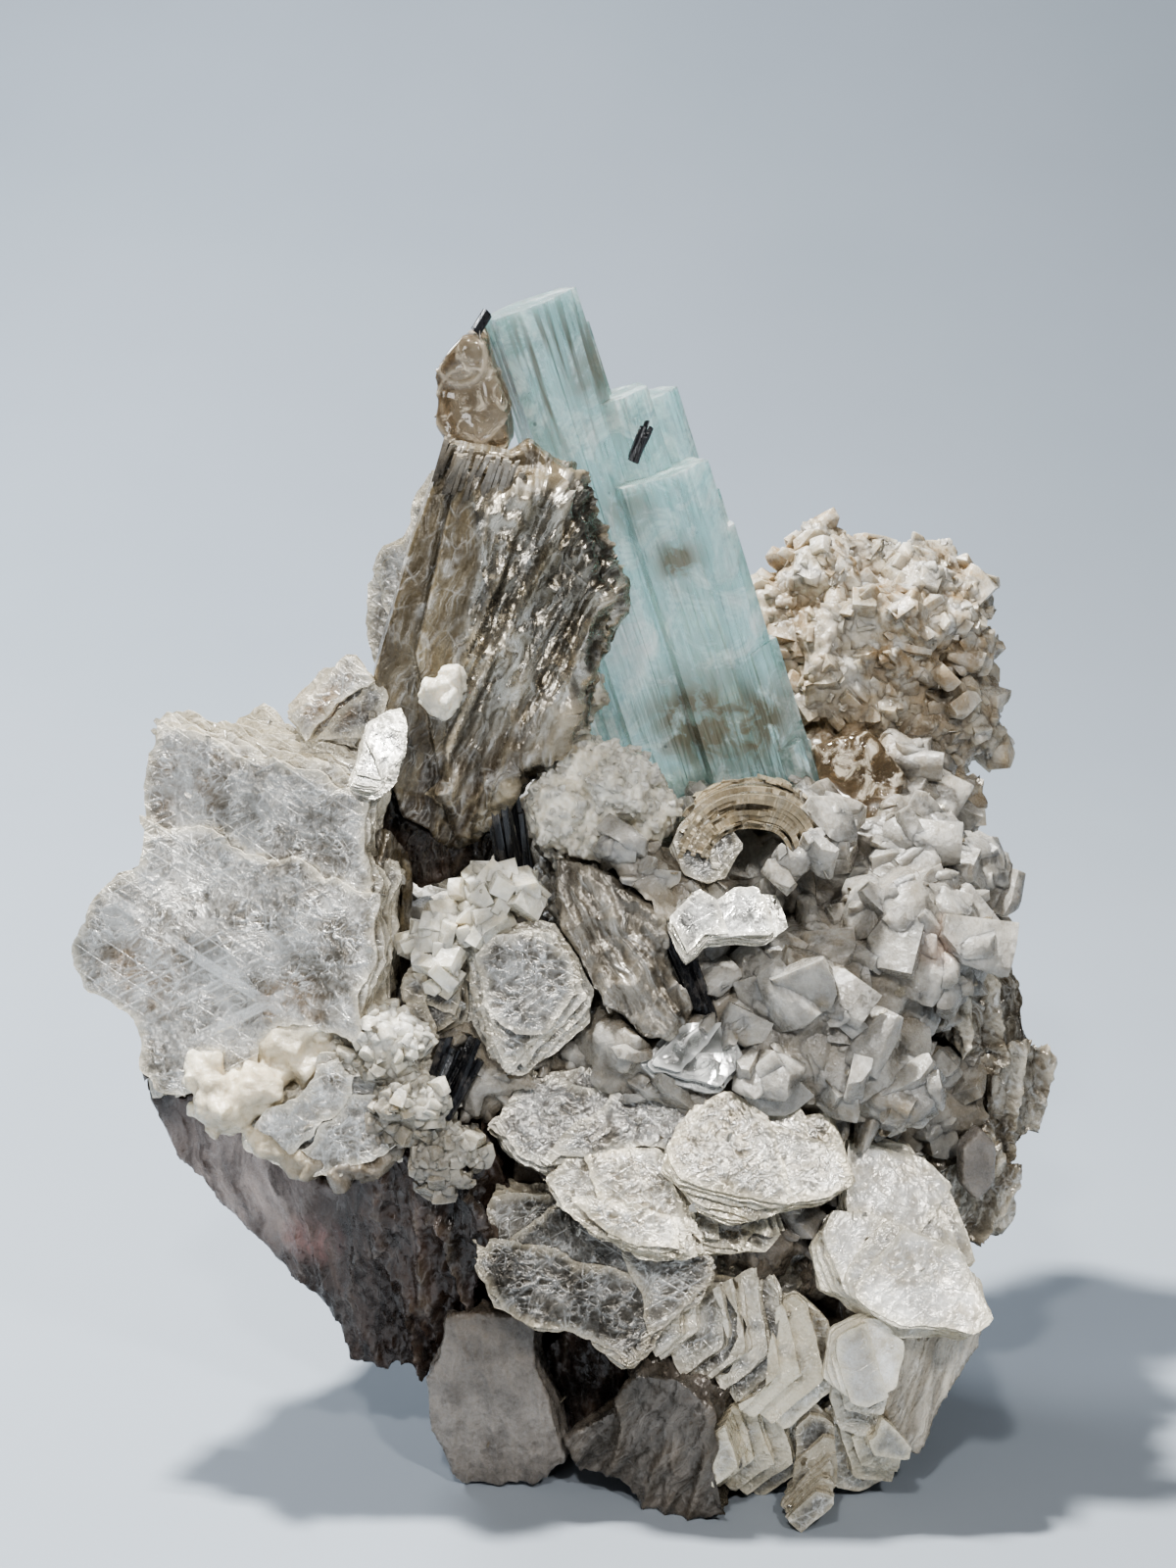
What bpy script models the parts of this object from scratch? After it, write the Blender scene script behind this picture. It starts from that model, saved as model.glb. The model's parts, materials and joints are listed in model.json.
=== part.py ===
"""Aquamarine prisms standing in a matrix of mica books, albite and schorl, on its flat base.

Frame: +Z up, +X to the right, -Y to the front, origin on the base under the crystals.
Lengths below are millimetres and angles are degrees; MM turns them into Blender's metres.
"""

import math
import random

import bmesh
import bpy
from mathutils import Euler, Matrix, Vector

MM = 0.001
GAP = 0.3  # clearance between neighbouring pieces
BASE_Z = 0.0  # height of the flat base
SHEET_LAP = 0.05  # how far one sheet of a book runs into the next
SHEET_WANDER = 0.03  # how far a hidden sheet's corners stray, as a share of the book's width
WELD = 0.01  # corners closer than this are one corner
FLAT = 2.5  # faces that meet at less than this are one face
REACH = 60.0  # half size of the box that trims pieces at the base
CRYSTAL_FOOT_Z = 44.0  # depth to which the aquamarine is sunk in the matrix
CRYSTAL_AXIS = Vector((-0.3, -0.05, 0.953)).normalized()  # common long axis of the prisms

PALETTE = {  # colour, roughness, metallic, alpha
    "aquamarine": ((0.55, 0.80, 0.78), 0.15, 0.0, 0.7),
    "schorl": ((0.02, 0.02, 0.025), 0.25, 0.0, 1.0),
    "mica_silver": ((0.62, 0.61, 0.58), 0.30, 0.2, 1.0),
    "mica_brown": ((0.36, 0.28, 0.20), 0.35, 0.1, 1.0),
    "mica_cream": ((0.68, 0.62, 0.50), 0.35, 0.1, 1.0),
    "albite": ((0.86, 0.84, 0.80), 0.55, 0.0, 1.0),
}


def clear_scene():
    for thing in list(bpy.data.objects):
        bpy.data.objects.remove(thing, do_unlink=True)
    for group in list(bpy.data.collections):
        bpy.data.collections.remove(group)


def new_collection(name):
    group = bpy.data.collections.new(name)
    bpy.context.scene.collection.children.link(group)
    return group


def make_material(name):
    colour, roughness, metallic, alpha = PALETTE[name]
    material = bpy.data.materials.new(name)
    material.use_nodes = True
    shader = material.node_tree.nodes["Principled BSDF"]
    shader.inputs["Base Color"].default_value = (*colour, 1.0)
    shader.inputs["Roughness"].default_value = roughness
    shader.inputs["Metallic"].default_value = metallic
    shader.inputs["Alpha"].default_value = alpha
    return material


# ---------------------------------------------------------------- solids


def keep(bm, name="solid"):
    """Turns a bmesh whose lengths are millimetres into an object in metres."""
    bmesh.ops.scale(bm, vec=(MM, MM, MM), verts=bm.verts)
    bmesh.ops.recalc_face_normals(bm, faces=bm.faces)
    mesh = bpy.data.meshes.new(name)
    bm.to_mesh(mesh)
    bm.free()
    solid = bpy.data.objects.new(name, mesh)
    workshop.objects.link(solid)
    return solid


def evaluated_mesh(thing):
    graph = bpy.context.evaluated_depsgraph_get()
    return bpy.data.meshes.new_from_object(thing.evaluated_get(graph))


def slab(outline, thickness, top):
    """A flat plate with this outline, its front face at height `top` of its own frame."""
    curve = bpy.data.curves.new("outline", "CURVE")
    curve.dimensions = "2D"
    curve.fill_mode = "BOTH"
    curve.extrude = thickness / 2
    line = curve.splines.new("POLY")
    line.points.add(len(outline) - 1)
    for point, (x, y) in zip(line.points, outline):
        point.co = (x, y, 0, 1)
    line.use_cyclic_u = True
    drawn = bpy.data.objects.new("outline", curve)
    workshop.objects.link(drawn)
    bm = bmesh.new()
    bm.from_mesh(evaluated_mesh(drawn))
    bpy.data.objects.remove(drawn)
    bmesh.ops.remove_doubles(bm, verts=bm.verts, dist=WELD)
    bmesh.ops.translate(bm, verts=bm.verts, vec=(0, 0, top - thickness / 2))
    return bm


def wander(outline, k, creep, shrink, rng):
    """The outline of sheet k of a book: the front sheet is exact, the others stray from it."""
    if k == 0:
        return outline
    scale = 1 - shrink * k
    stray = SHEET_WANDER * (max(x for x, _ in outline) - min(x for x, _ in outline))
    return [
        (
            x * scale + creep[0] * k + rng.uniform(-stray, stray),
            y * scale + creep[1] * k + rng.uniform(-stray, stray),
        )
        for x, y in outline
    ]


def facing_matrix(at, facing):
    """Local +Z looks along azimuth and elevation `facing`, where azimuth 0 is the front."""
    azimuth, elevation = facing
    turn = Euler((math.radians(90 - elevation), 0, math.radians(azimuth)))
    return Matrix.Translation(at) @ turn.to_matrix().to_4x4()


def book(at, facing, outline, thickness, sheets=3, creep=(0.0, 0.0), shrink=0.0):
    """Mica sheets stacked behind the front sheet, whose front face is centred on `at`."""
    rng = random.Random(f"{at}{thickness}")
    pitch = thickness / sheets
    place = facing_matrix(at, facing)
    solids = []
    for k in range(sheets):
        deep = pitch + (SHEET_LAP if k < sheets - 1 else 0)
        bm = slab(wander(outline, k, creep, shrink, rng), deep, -pitch * k)
        bmesh.ops.transform(bm, matrix=place, verts=bm.verts)
        solids.append(keep(bm))
    return solids


def hexagon(width, height, turn=0.0):
    """A six-sided mica outline, flattened to width by height and turned in its own plane."""
    angles = [math.radians(60 * k + turn) for k in range(6)]
    return [(width / 2 * math.cos(a), height / 2 * math.sin(a)) for a in angles]


def arc_band(radius, band, start, end, steps=7):
    """A curved strip between two angles, `band` wide inside the radius."""
    angles = [math.radians(start + (end - start) * k / steps) for k in range(steps + 1)]
    outer = [(radius * math.cos(a), radius * math.sin(a)) for a in angles]
    inner = [((radius - band) * math.cos(a), (radius - band) * math.sin(a)) for a in angles]
    return outer + inner[::-1]


def hull(bm):
    """Replaces the faces of the bmesh by their convex hull."""
    bmesh.ops.delete(bm, geom=bm.edges[:] + bm.faces[:], context="EDGES_FACES")
    bmesh.ops.convex_hull(bm, input=bm.verts)
    inside = [corner for corner in bm.verts if not corner.link_faces]
    bmesh.ops.delete(bm, geom=inside, context="VERTS")


def lumps(balls, squareness=0.35):
    """Blocky grains, one for each (x, y, z, radius), as jittered convex hulls."""
    solids = []
    for x, y, z, radius in balls:
        rng = random.Random(f"{x} {y} {z}")
        bm = bmesh.new()
        bmesh.ops.create_icosphere(bm, subdivisions=2 if radius > 12 else 1, radius=1)
        for corner in bm.verts:
            longest = max(abs(c) for c in corner.co)
            corner.co *= radius * rng.uniform(0.88, 1.08) / longest**squareness
        hull(bm)
        turn = Euler([rng.uniform(0, math.tau) for _ in range(3)]).to_matrix().to_4x4()
        place = Matrix.Translation((x, y, z)) @ turn
        bmesh.ops.transform(bm, matrix=place, verts=bm.verts)
        solids.append(keep(bm))
    return solids


def prism(foot, top, radius, turn=0.0):
    """A six-sided prism between two points, turned about its own axis."""
    foot, top = Vector(foot), Vector(top)
    along = top - foot
    bm = bmesh.new()
    bmesh.ops.create_cone(
        bm, segments=6, radius1=radius, radius2=radius, depth=along.length, cap_ends=True
    )
    spin = Matrix.Rotation(math.radians(turn), 4, "Z")
    aim = along.to_track_quat("Z", "Y").to_matrix().to_4x4()
    place = Matrix.Translation((foot + top) / 2) @ aim @ spin
    bmesh.ops.transform(bm, matrix=place, verts=bm.verts)
    return keep(bm)


def standing_prism(top, radius, turn):
    """An aquamarine prism from its top face down along the common axis into the matrix."""
    top = Vector(top)
    drop = (top.z - CRYSTAL_FOOT_Z) / CRYSTAL_AXIS.z
    return prism(top - CRYSTAL_AXIS * drop, top, radius, turn)


def needles(foot, top, radius, count, spread):
    """A bundle of nearly parallel needles whose feet and tops are scattered by `spread`."""
    rng = random.Random(f"{foot}{top}")
    solids = []
    for k in range(count):
        shift = Vector([rng.uniform(-spread, spread) * min(k, 1) for _ in range(3)])
        lean = Vector([rng.uniform(-spread, spread) * min(k, 1) / 2 for _ in range(3)])
        ends = Vector(foot) + shift, Vector(top) + shift + lean
        solids.append(prism(*ends, radius * rng.uniform(0.8, 1.1), 60 * rng.random()))
    return solids


# ---------------------------------------------------------------- joining and cutting


def boolean(solid, others, operation):
    """Joins the others to the solid, or cuts them from it, and bakes the result."""
    for other in others:
        step = solid.modifiers.new("step", "BOOLEAN")
        step.operation = operation
        step.solver = "EXACT"
        step.object = other
    mesh = evaluated_mesh(solid)
    solid.modifiers.clear()
    solid.data = mesh
    return solid


def grown(solid):
    """A copy of the solid with every corner moved out by the clearance."""
    bm = bmesh.new()
    bm.from_mesh(solid.data)
    bm.normal_update()
    moves = [v.normal * min(v.calc_shell_factor(), 2.0) * GAP * MM for v in bm.verts]
    for corner, move in zip(bm.verts, moves):
        corner.co += move
    mesh = bpy.data.meshes.new("cutter")
    bm.to_mesh(mesh)
    bm.free()
    cutter = bpy.data.objects.new("cutter", mesh)
    workshop.objects.link(cutter)
    return cutter


def pocket(cutters):
    """One convex cutter around the grown sheets of a book."""
    bm = bmesh.new()
    for cutter in cutters:
        bm.from_mesh(cutter.data)
    bmesh.ops.scale(bm, vec=(1 / MM,) * 3, verts=bm.verts)
    hull(bm)
    return keep(bm)


def corners_of(solid):
    """Lowest and highest corner of the solid's box."""
    points = [v.co for v in solid.data.vertices]
    low = Vector([min(p[i] for p in points) for i in range(3)])
    high = Vector([max(p[i] for p in points) for i in range(3)])
    return low, high


def boxes_meet(a, b):
    (low_a, high_a), (low_b, high_b) = a, b
    return all(low_a[i] < high_b[i] and low_b[i] < high_a[i] for i in range(3))


def below_base():
    """The box under the base plane, which trims every piece flat."""
    bm = bmesh.new()
    bmesh.ops.create_cube(bm, size=2 * REACH)
    bmesh.ops.translate(bm, verts=bm.verts, vec=(0, 0, BASE_Z - REACH))
    return keep(bm, "below_base")


def islands(bm):
    """The separate bodies of a bmesh, as lists of faces."""
    left = set(bm.faces)
    found = []
    while left:
        body, edge = [], [left.pop()]
        while edge:
            face = edge.pop()
            body.append(face)
            near = {f for line in face.edges for f in line.link_faces} & left
            left -= near
            edge.extend(near)
        found.append(body)
    return found


def signed_volume(faces):
    total = 0.0
    for face in faces:
        first, *rest = [v.co for v in face.verts]
        total += sum(first.dot(b.cross(c)) for b, c in zip(rest, rest[1:]))
    return total


def tidy(solid):
    """Keeps the largest body of the solid and welds the slivers that cutting leaves."""
    bm = bmesh.new()
    bm.from_mesh(solid.data)
    bmesh.ops.remove_doubles(bm, verts=bm.verts, dist=WELD * MM)
    bmesh.ops.dissolve_degenerate(bm, edges=bm.edges, dist=WELD * MM)
    flat = {"angle_limit": math.radians(FLAT), "verts": bm.verts, "edges": bm.edges}
    bmesh.ops.dissolve_limit(bm, **flat)
    bmesh.ops.triangulate(bm, faces=bm.faces)
    bodies = sorted(islands(bm), key=signed_volume)
    scraps = [face for body in bodies[:-1] for face in body]
    bmesh.ops.delete(bm, geom=scraps, context="FACES")
    bm.to_mesh(solid.data)
    bm.free()


# ---------------------------------------------------------------- the pieces


def schorl_pieces():
    yield "schorl_on_crystal", needles((3.3, -1.2, 83.4), (4.6, -0.9, 86.4), 0.45, 4, 0.8)
    yield "schorl_at_tip", [prism((-8.8, 1.0, 93.4), (-8.0, 1.2, 94.8), 0.6)]
    yield "schorl_below_tall_book", needles((-5.6, -5, 49), (-6.6, -5.5, 57), 0.6, 4, 1.0)
    yield "schorl_lower_left", needles((-12, -13.5, 34), (-10, -12, 38.5), 0.55, 5, 1.1)
    yield "schorl_right_of_centre", needles((9.2, -11, 41), (6.8, -10, 47), 0.5, 4, 0.7)


def aquamarine():
    return [
        standing_prism((-4.9, 5, 95.4), 4.2, 12),
        standing_prism((2.1, 6, 88.0), 2.9, 5),
        standing_prism((5.5, 4.5, 81.9), 4.4, 10),
        standing_prism((4.6, 9, 87.5), 2.8, 20),
        standing_prism((9.2, 5.5, 77.0), 3.0, 0),
        standing_prism((12.4, 6, 67.0), 3.4, 8),
        standing_prism((-3.4, 7.5, 81.0), 3.8, 15),
    ]


def upper_left_mica():
    knot = [
        (-3.5, 2), (-1, 5), (0.5, 6), (1, 4), (1.5, 1), (2.5, -2.5), (2.5, -4), (-2, -3.5),
        (-3, -1.5),
    ]
    yield "mica_tip_knot", book((-8.9, 0.5, 88.1), (-8, 0), knot, 4, 2, (0.2, 0.1), 0.08)
    behind = [
        (-4.5, -5), (-4, -1), (-3, 1.5), (-1.5, 2.5), (-1, 5.5), (0.5, 8), (5, 7.5), (6, -4),
        (1, -9), (-3.5, -8),
    ]
    yield "mica_behind_tall_book", book((-13.5, 4, 73.5), (-12, 5), behind, 1.8, 2, (0.3, 0.2))
    flake = [(-0.5, 2), (1.5, 3), (1.5, 0), (1, -2), (-0.5, -3), (-2, -2)]
    yield "mica_bright_flake", book((-16.1, -9.5, 62), (12, 25), flake, 1.2, 1)
    tip = [
        (-3.5, -0.5), (-2, 1.5), (-0.5, 2.5), (2, 3), (3.5, 1.5), (4.5, 0.5), (4, -2.5),
        (-1, -3),
    ]
    yield "mica_left_tip", book((-21, -5, 65.2), (-8, 12), tip, 2.4, 2, (0.2, -0.3))


def tall_book():
    """A thick leaning book with a broken, bulging front."""
    body = [
        (-10, -3.5), (-7, 7), (-4, 15), (1, 14), (2.5, 15), (3.5, 14), (6, 12), (7, 8.5), (9, 3),
        (8.5, 0), (7, -3.5), (6.5, -7), (4.5, -9.5), (2, -10.5), (-0.5, -15.5), (-3.5, -17.5),
        (-8, -15), (-9.5, -10),
    ]
    front = [
        (-6.5, -1.5), (-3, 13.5), (1, 12), (4, 12), (6, 9), (8, 3), (7, -1), (5.5, -4), (4.5, -9),
        (1, -10), (-1, -15), (-3.5, -16), (-5, -10),
    ]
    solids = book((-6.9, -4, 70.5), (5, 0), body, 6.5, 2, (0.3, 0.2), 0.06)
    return solids + book((-6.9, -6.5, 70.5), (5, 0), front, 3, 1)


def left_plate():
    outline = [
        (-6, 15), (-2.5, 15), (0.5, 16.5), (3, 15), (8.5, 15.5), (10.5, 15), (10.5, 7.5), (9.5, 5),
        (11.5, 3), (11.5, -1.5), (11, -6.5), (10, -9), (3.5, -8.5), (2, -12), (-5, -15.5),
        (-7, -12.5), (-7.5, -8.5), (-11.5, -6.5), (-12.5, -3.5), (-10.5, 1), (-8, 3.5), (-7.5, 7),
        (-7, 12),
    ]
    return book((-28, -9, 48.9), (-10, 10), outline, 6, 2, (0.5, -0.3), 0.03)


def left_mica():
    yield "mica_left_plate", left_plate()
    yield "mica_left_edge_book", book(
        (-34.5, -8, 38.5), (-40, 5), hexagon(5, 11, 10), 4, 2, (0.3, 0.2)
    )
    yield "mica_side_book", book(
        (-15.6, -6.5, 47.5), (62, 0), hexagon(7, 15, 30), 3, 2, (-0.3, 0.2)
    )
    ridge = [
        (-6.5, 0), (-5, 2), (-0.5, 5), (5.5, 6.5), (7, 3.5), (5.5, -0.5), (3.5, -3.5),
        (0.5, -5.5), (-2.5, -5), (-5.5, -2),
    ]
    yield "mica_ridge_plate", book((-20.3, -12.5, 32.7), (-5, 8), ridge, 4, 2, (0.3, 0.3))
    base = [
        (-14.5, 15), (-12.5, 7), (-9.5, 2.5), (-6.5, -1), (-2.5, -5.5), (0.5, -9), (1, -13),
        (8, -13.5), (12, -7), (14.5, 1.5), (13.5, 9), (7, 10), (-1, 13.5), (-8.5, 15),
    ]
    yield "mica_brown_base", book((-21.7, -9, 21.2), (-18, -14), base, 9, 2, (0.6, 0.4), 0.04)


def lower_front_mica():
    plate = [
        (-9.5, 3), (-8.5, 0), (-7, -2), (-4, -4), (0.5, -4.5), (3, -6.5), (5, -5), (9.5, -0.5),
        (9.5, 1), (7, 2.5), (-1, 5.5), (-8.5, 6),
    ]
    upper = [
        (-7.5, 2.5), (-6, 0), (-1, -2.5), (0.5, -3.5), (3, -4), (6, -3.5), (6, -2), (5.5, 1),
        (2.5, 4), (-5, 4),
    ]
    yield "mica_front_upper_plate", book((3.1, -16.5, 27), (0, 28), upper, 2.4, 2, (0.2, -0.2))
    yield "mica_front_plate", book((0, -15, 20.5), (0, 18), plate, 4, 2, (0.2, 0.4))
    ledge = [
        (-7, -1.5), (-7.5, 0), (-6.5, 2.5), (-5, 4), (-2.5, 4.5), (0, 3), (2.5, 3.5), (5.5, 3),
        (6.5, 0.5), (7, -1), (4.5, -3), (-2.5, -4), (-5.5, -3.5),
    ]
    yield "mica_ledge", book((13.9, -16, 31), (5, 32), ledge, 2.4, 2, (0.2, -0.3))
    yield "mica_ledge_step", book((11.7, -14, 24.7), (3, 32), hexagon(9, 4.5), 2.4, 2, (0.3, 0.2))
    yield "mica_shelf", book((0.8, -13, 33.1), (0, 30), hexagon(17, 9, 8), 3.5, 2, (0.3, 0.3))
    yield "mica_under_ledge", book((13.5, -11, 19.5), (0, 8), hexagon(14, 10, 15), 4, 2, (0.3, 0.2))
    yield "mica_cavity_plate", book((-0.8, -8, 6), (0, -6), hexagon(9, 15, 30), 3, 1)


def rosette():
    cap = [(-3.5, 6), (1, 4), (3.5, 1), (4, -1), (4.5, -5), (1.5, -5.5), (-2, -2.5), (-4.5, -0.5)]
    top = [
        (-6, 3), (-5, 4.5), (-2.5, 4.5), (1, 2.5), (4, 1), (6, -1), (6.5, -4), (4.5, -5), (-1, -4),
        (-4.5, -1.5), (-6, -0.5),
    ]
    side = [(-5.5, 7), (5.5, 3.5), (4.5, 1), (1, -3), (-1.5, -7), (-3.5, -5.5), (-5.5, -2)]
    dark = [
        (-8, 0), (-4, 3.5), (-1.5, 7.5), (2, 8), (5, 6), (5, 0.5), (6, -4), (1.5, -6.5), (-1, -5),
        (-4.5, -2.5), (-7, -3),
    ]
    yield "mica_rosette_top", book((25.3, -16, 21.4), (12, 28), top, 3, 2, (0.1, -0.4))
    yield "mica_rosette_cap", book((25.6, -12, 25.5), (15, 35), cap, 3, 2, (0.3, 0.2))
    yield "mica_rosette_flake", book((22.2, -18, 14.2), (10, 8), hexagon(5.5, 6.5, 20), 1.4, 1)
    yield "mica_fan_1", book((8.2, -16, 15.8), (-25, 22), hexagon(6.5, 7.5, 10), 3, 2, (0.4, 0.3))
    yield "mica_fan_2", book((11.7, -17, 15.5), (-20, 18), hexagon(6, 11, 25), 3, 2, (0.4, 0.2))
    yield "mica_fan_3", book((15.6, -18, 13.4), (-6, 12), hexagon(8, 10.5, 25), 3, 2, (0.3, 0.3))
    yield "mica_fan_4", book((21, -18, 10), (6, 8), hexagon(5, 6.5, 15), 2.4, 2, (0.3, 0.2))
    yield "mica_rosette_side", book((28.3, -13, 10.9), (35, 0), side, 5, 2, (-0.5, 0.2))
    yield "mica_end_book_cream", book(
        (13, -18.5, 5.1), (-12, -4), hexagon(6, 11.5, 30), 5, 2, (0.4, 0.2)
    )
    yield "mica_end_book_grey", book(
        (17.2, -19, 4.9), (0, 0), hexagon(4.5, 9, 30), 4, 2, (0.3, 0.3)
    )
    yield "mica_end_book_right", book(
        (22.5, -17.5, 4.5), (14, -4), hexagon(6.5, 9.5, 20), 4, 2, (0.3, 0.3)
    )
    yield "mica_fan_dark", book((5.5, -16.5, 4.9), (-25, -6), dark, 5, 2, (0.6, 0.3), 0.02)


def right_mica():
    upper = [
        (-6.5, 6), (-3, 7.5), (2, 3.5), (4.5, 0), (5.5, -6), (2.5, -6.5), (-2.5, -4.5),
        (-5.5, 1),
    ]
    yield "mica_right_upper", book((32.7, -2, 40), (38, 8), upper, 5, 2, (-0.4, 0.2))
    yield "mica_right_lower", book(
        (36.1, -1, 30.1), (38, -6), hexagon(8, 11, 30), 5, 2, (-0.4, 0.2)
    )
    yield "mica_right_bottom", book(
        (31.9, -4, 22.1), (28, -12), hexagon(10, 11, 20), 5, 2, (-0.4, 0.3)
    )


def centre_mica():
    silver = [
        (-4.5, 0), (-4, 2.5), (-3, 2.5), (-1, 1), (0.5, 2), (3.5, 2), (4.5, 0), (2.5, -1.5),
        (-2, -1.5), (-3.5, -3), (-4, -1.5),
    ]
    diagonal = [
        (-6, 7), (-1.5, 6), (3, 2.5), (3.5, 1), (3, -0.5), (5.5, -4.5), (4.5, -6.5), (2.5, -7),
        (-2, -3), (-4.5, 1.5),
    ]
    plate = [
        (-5, 4), (-3.5, 5), (2, 5), (4, 2.5), (5, 0), (4.5, -2.5), (0, -5.5), (-2.5, -5),
        (-4.5, -1.5),
    ]
    yield "mica_silver_flake", book((11.2, -11, 49.2), (4, 45), silver, 1.2, 1)
    yield "mica_clear_flake", book((8.5, -13.5, 38.4), (8, 32), hexagon(8, 5), 1.0, 1)
    yield "mica_centre_plate", book((-5, -12.5, 42.6), (3, 15), plate, 3, 2, (0.2, 0.3))
    yield "mica_centre_small", book(
        (-12.3, -11, 42.4), (-8, 10), hexagon(5, 6.5, 30), 2, 2, (0.2, 0.2)
    )
    yield "mica_diagonal_book", book((2.3, -11.5, 46.7), (-15, 18), diagonal, 4, 2, (0.5, 0.3))
    yield "mica_cave_flake", book((9.4, -7, 53.6), (5, 20), hexagon(5, 4.5), 1.2, 1)
    arch = arc_band(7.2, 3.2, 165, 10)
    yield "mica_curved_book", book((12.8, -8, 52), (6, 10), arch, 6, 2, (0.3, 0.4))
    yield "mica_saddle", book((21.7, 5.5, 55.4), (0, 25), hexagon(10, 9, 10), 3.5, 2, (0.3, 0.3))


def back_mica():
    yield "mica_back_left", book((-14, 14, 42), (165, 12), hexagon(16, 14, 20), 4, 2, (0.6, 0.3))
    yield "mica_back_centre", book((6, 25, 26), (185, -4), hexagon(15, 12, 10), 4, 2, (0.4, 0.3))
    yield "mica_back_right", book((20, 23, 42), (200, 15), hexagon(12, 13, 35), 4, 2, (0.3, 0.3))


def albite_blades():
    blade = [
        (-5.5, 2.5), (-5.5, -1.5), (-4.5, -4), (-3, -7.2), (3, -6.8), (6, -4.5), (5, -1.5), (3.5, 4),
        (3.5, 8.5), (-1, 9), (-4, 8.5), (-4.5, 5),
    ]
    yield "albite_blade", book((-7.6, -12.5, 7.2), (-4, -4), blade, 5, 2, (0.3, 0.2), 0.06)
    yield "albite_blade_right", book((32, -8, 26.8), (12, 0), hexagon(3.4, 6.5, 30), 2, 1)


def albite_lumps():
    yield "albite_on_tall_book", lumps([(-11.6, -9.4, 66.6, 1.6), (-10.6, -9.2, 67.6, 1.3)])
    yield "albite_small_crystals", lumps([
        (-11.4, -9, 47.2, 2.1), (-6.8, -9, 50.6, 1.9), (-8.8, -8, 50.3, 1.6), (-7.9, -9.8, 49, 1.7),
        (-5.4, -9, 50.4, 1.5), (-8.9, -10, 47.3, 1.9), (-13.1, -9, 46.2, 1.7),
        (-10.7, -10.5, 44.8, 2.0), (-9, -7, 47.5, 3.0),
    ], 0.6)
    yield "albite_under_crystal", lumps([
        (-2.2, -4.2, 56, 3.4), (2.2, -4.4, 58, 3.6), (0.4, -4, 53, 3.8), (4.6, -3.2, 55.5, 3.2),
        (-0.6, -2.6, 59, 3.0),
    ])
    yield "albite_cream_lump", lumps([
        (-29, -12, 34, 2.8), (-26.4, -12, 35.2, 2.2), (-30.5, -10.5, 36, 2.2),
    ])
    yield "albite_ridge", lumps([
        (-21, -11, 37.4, 2.6), (-15.5, -11.5, 38.6, 3.2), (-14, -12.5, 33.9, 3.4),
        (-11.3, -13, 29.7, 3.2), (-9.8, -12.5, 26, 3.0), (-14.6, -11, 27, 3.2), (-14.5, -10, 31, 4.0),
    ])
    yield "albite_upper_mass", lumps([
        (24, 20, 61, 8.6), (20, 18.5, 65, 6.0), (28, 20, 66, 6.2), (30, 19, 58, 5.8),
        (22, 17, 54, 6.4), (29, 16, 51, 5.4), (23.4, 21, 69.4, 4.2), (31.6, 19.5, 63, 3.6),
        (17.5, 17.5, 60, 4.2), (17.2, 19, 66, 4.2), (20.5, 20, 70, 3.6), (31, 20, 68, 3.4),
    ])
    yield "albite_matrix", lumps([
        (-26, 1, 44, 8), (-17, 4, 36, 11), (-15, 4, 23, 10), (-5, 6, 34, 13), (7, 6, 36, 15),
        (18, 6, 34, 13), (4, 5, 20, 14), (17, 3, 18, 13), (3, 8, 47, 11.5), (14, 7, 48, 11),
        (25, 7, 44, 10), (26, 13, 52, 7), (28, 2, 30, 8), (10, 3, 8, 13), (-2, 1, 7, 9.5),
        (22, -4, 15, 9), (7, -5, 36, 10), (-9, -5, 35, 8.5), (18, -5, 38, 10), (12, -5, 26, 10),
        (-9, -4, 24, 8), (4, -4, 47, 8), (26, -3, 44, 7), (2, 16, 33, 11), (17, 15, 33, 12),
        (-11, 11, 33, 9), (10, 13, 13, 11),
    ])


BROWN = (
    "mica_tip_knot", "mica_tall_book", "mica_below_tall_book", "mica_side_book",
    "mica_brown_base", "mica_curved_book", "mica_fan_dark", "mica_saddle",
)
CREAM = ("rosette", "fan_", "end_book", "ledge", "under", "right", "diagonal", "front_upper")


def material_of(name):
    if not name.startswith("mica"):
        return name.split("_")[0]
    if name in BROWN:
        return "mica_brown"
    return "mica_cream" if any(word in name for word in CREAM) else "mica_silver"


def all_pieces():
    """Every piece, those that stay whole first: each is cut by the ones before it."""
    yield from schorl_pieces()
    yield "aquamarine_crystals", aquamarine()
    yield from upper_left_mica()
    yield "mica_tall_book", tall_book()
    yield "mica_below_tall_book", book(
        (-12.5, -3.5, 55), (-8, -12), hexagon(12, 13, 15), 4, 2, (0.3, 0.3)
    )
    yield from left_mica()
    yield from lower_front_mica()
    yield from rosette()
    yield from right_mica()
    yield from centre_mica()
    yield from albite_blades()
    yield from back_mica()
    yield from albite_lumps()


def assemble(specimen):
    materials = {name: make_material(name) for name in PALETTE}
    trimmer = below_base()
    exact, simple = [], []
    for name, solids in all_pieces():
        exact_cutters = [grown(solid) for solid in solids]
        is_book = name.startswith("mica")
        simple_cutters = [pocket(exact_cutters)] if is_book else exact_cutters
        whole = boolean(solids[0], solids[1:], "UNION")
        box = corners_of(whole)
        cutters = simple if name == "albite_matrix" else exact
        near = [cutter for cutter in cutters if boxes_meet(corners_of(cutter), box)]
        if box[0].z < BASE_Z * MM:
            near.append(trimmer)
        boolean(whole, near, "DIFFERENCE")
        tidy(whole)
        whole.name = whole.data.name = name
        whole.data.materials.clear()
        whole.data.materials.append(materials[material_of(name)])
        workshop.objects.unlink(whole)
        specimen.objects.link(whole)
        exact += exact_cutters
        simple += simple_cutters


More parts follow.
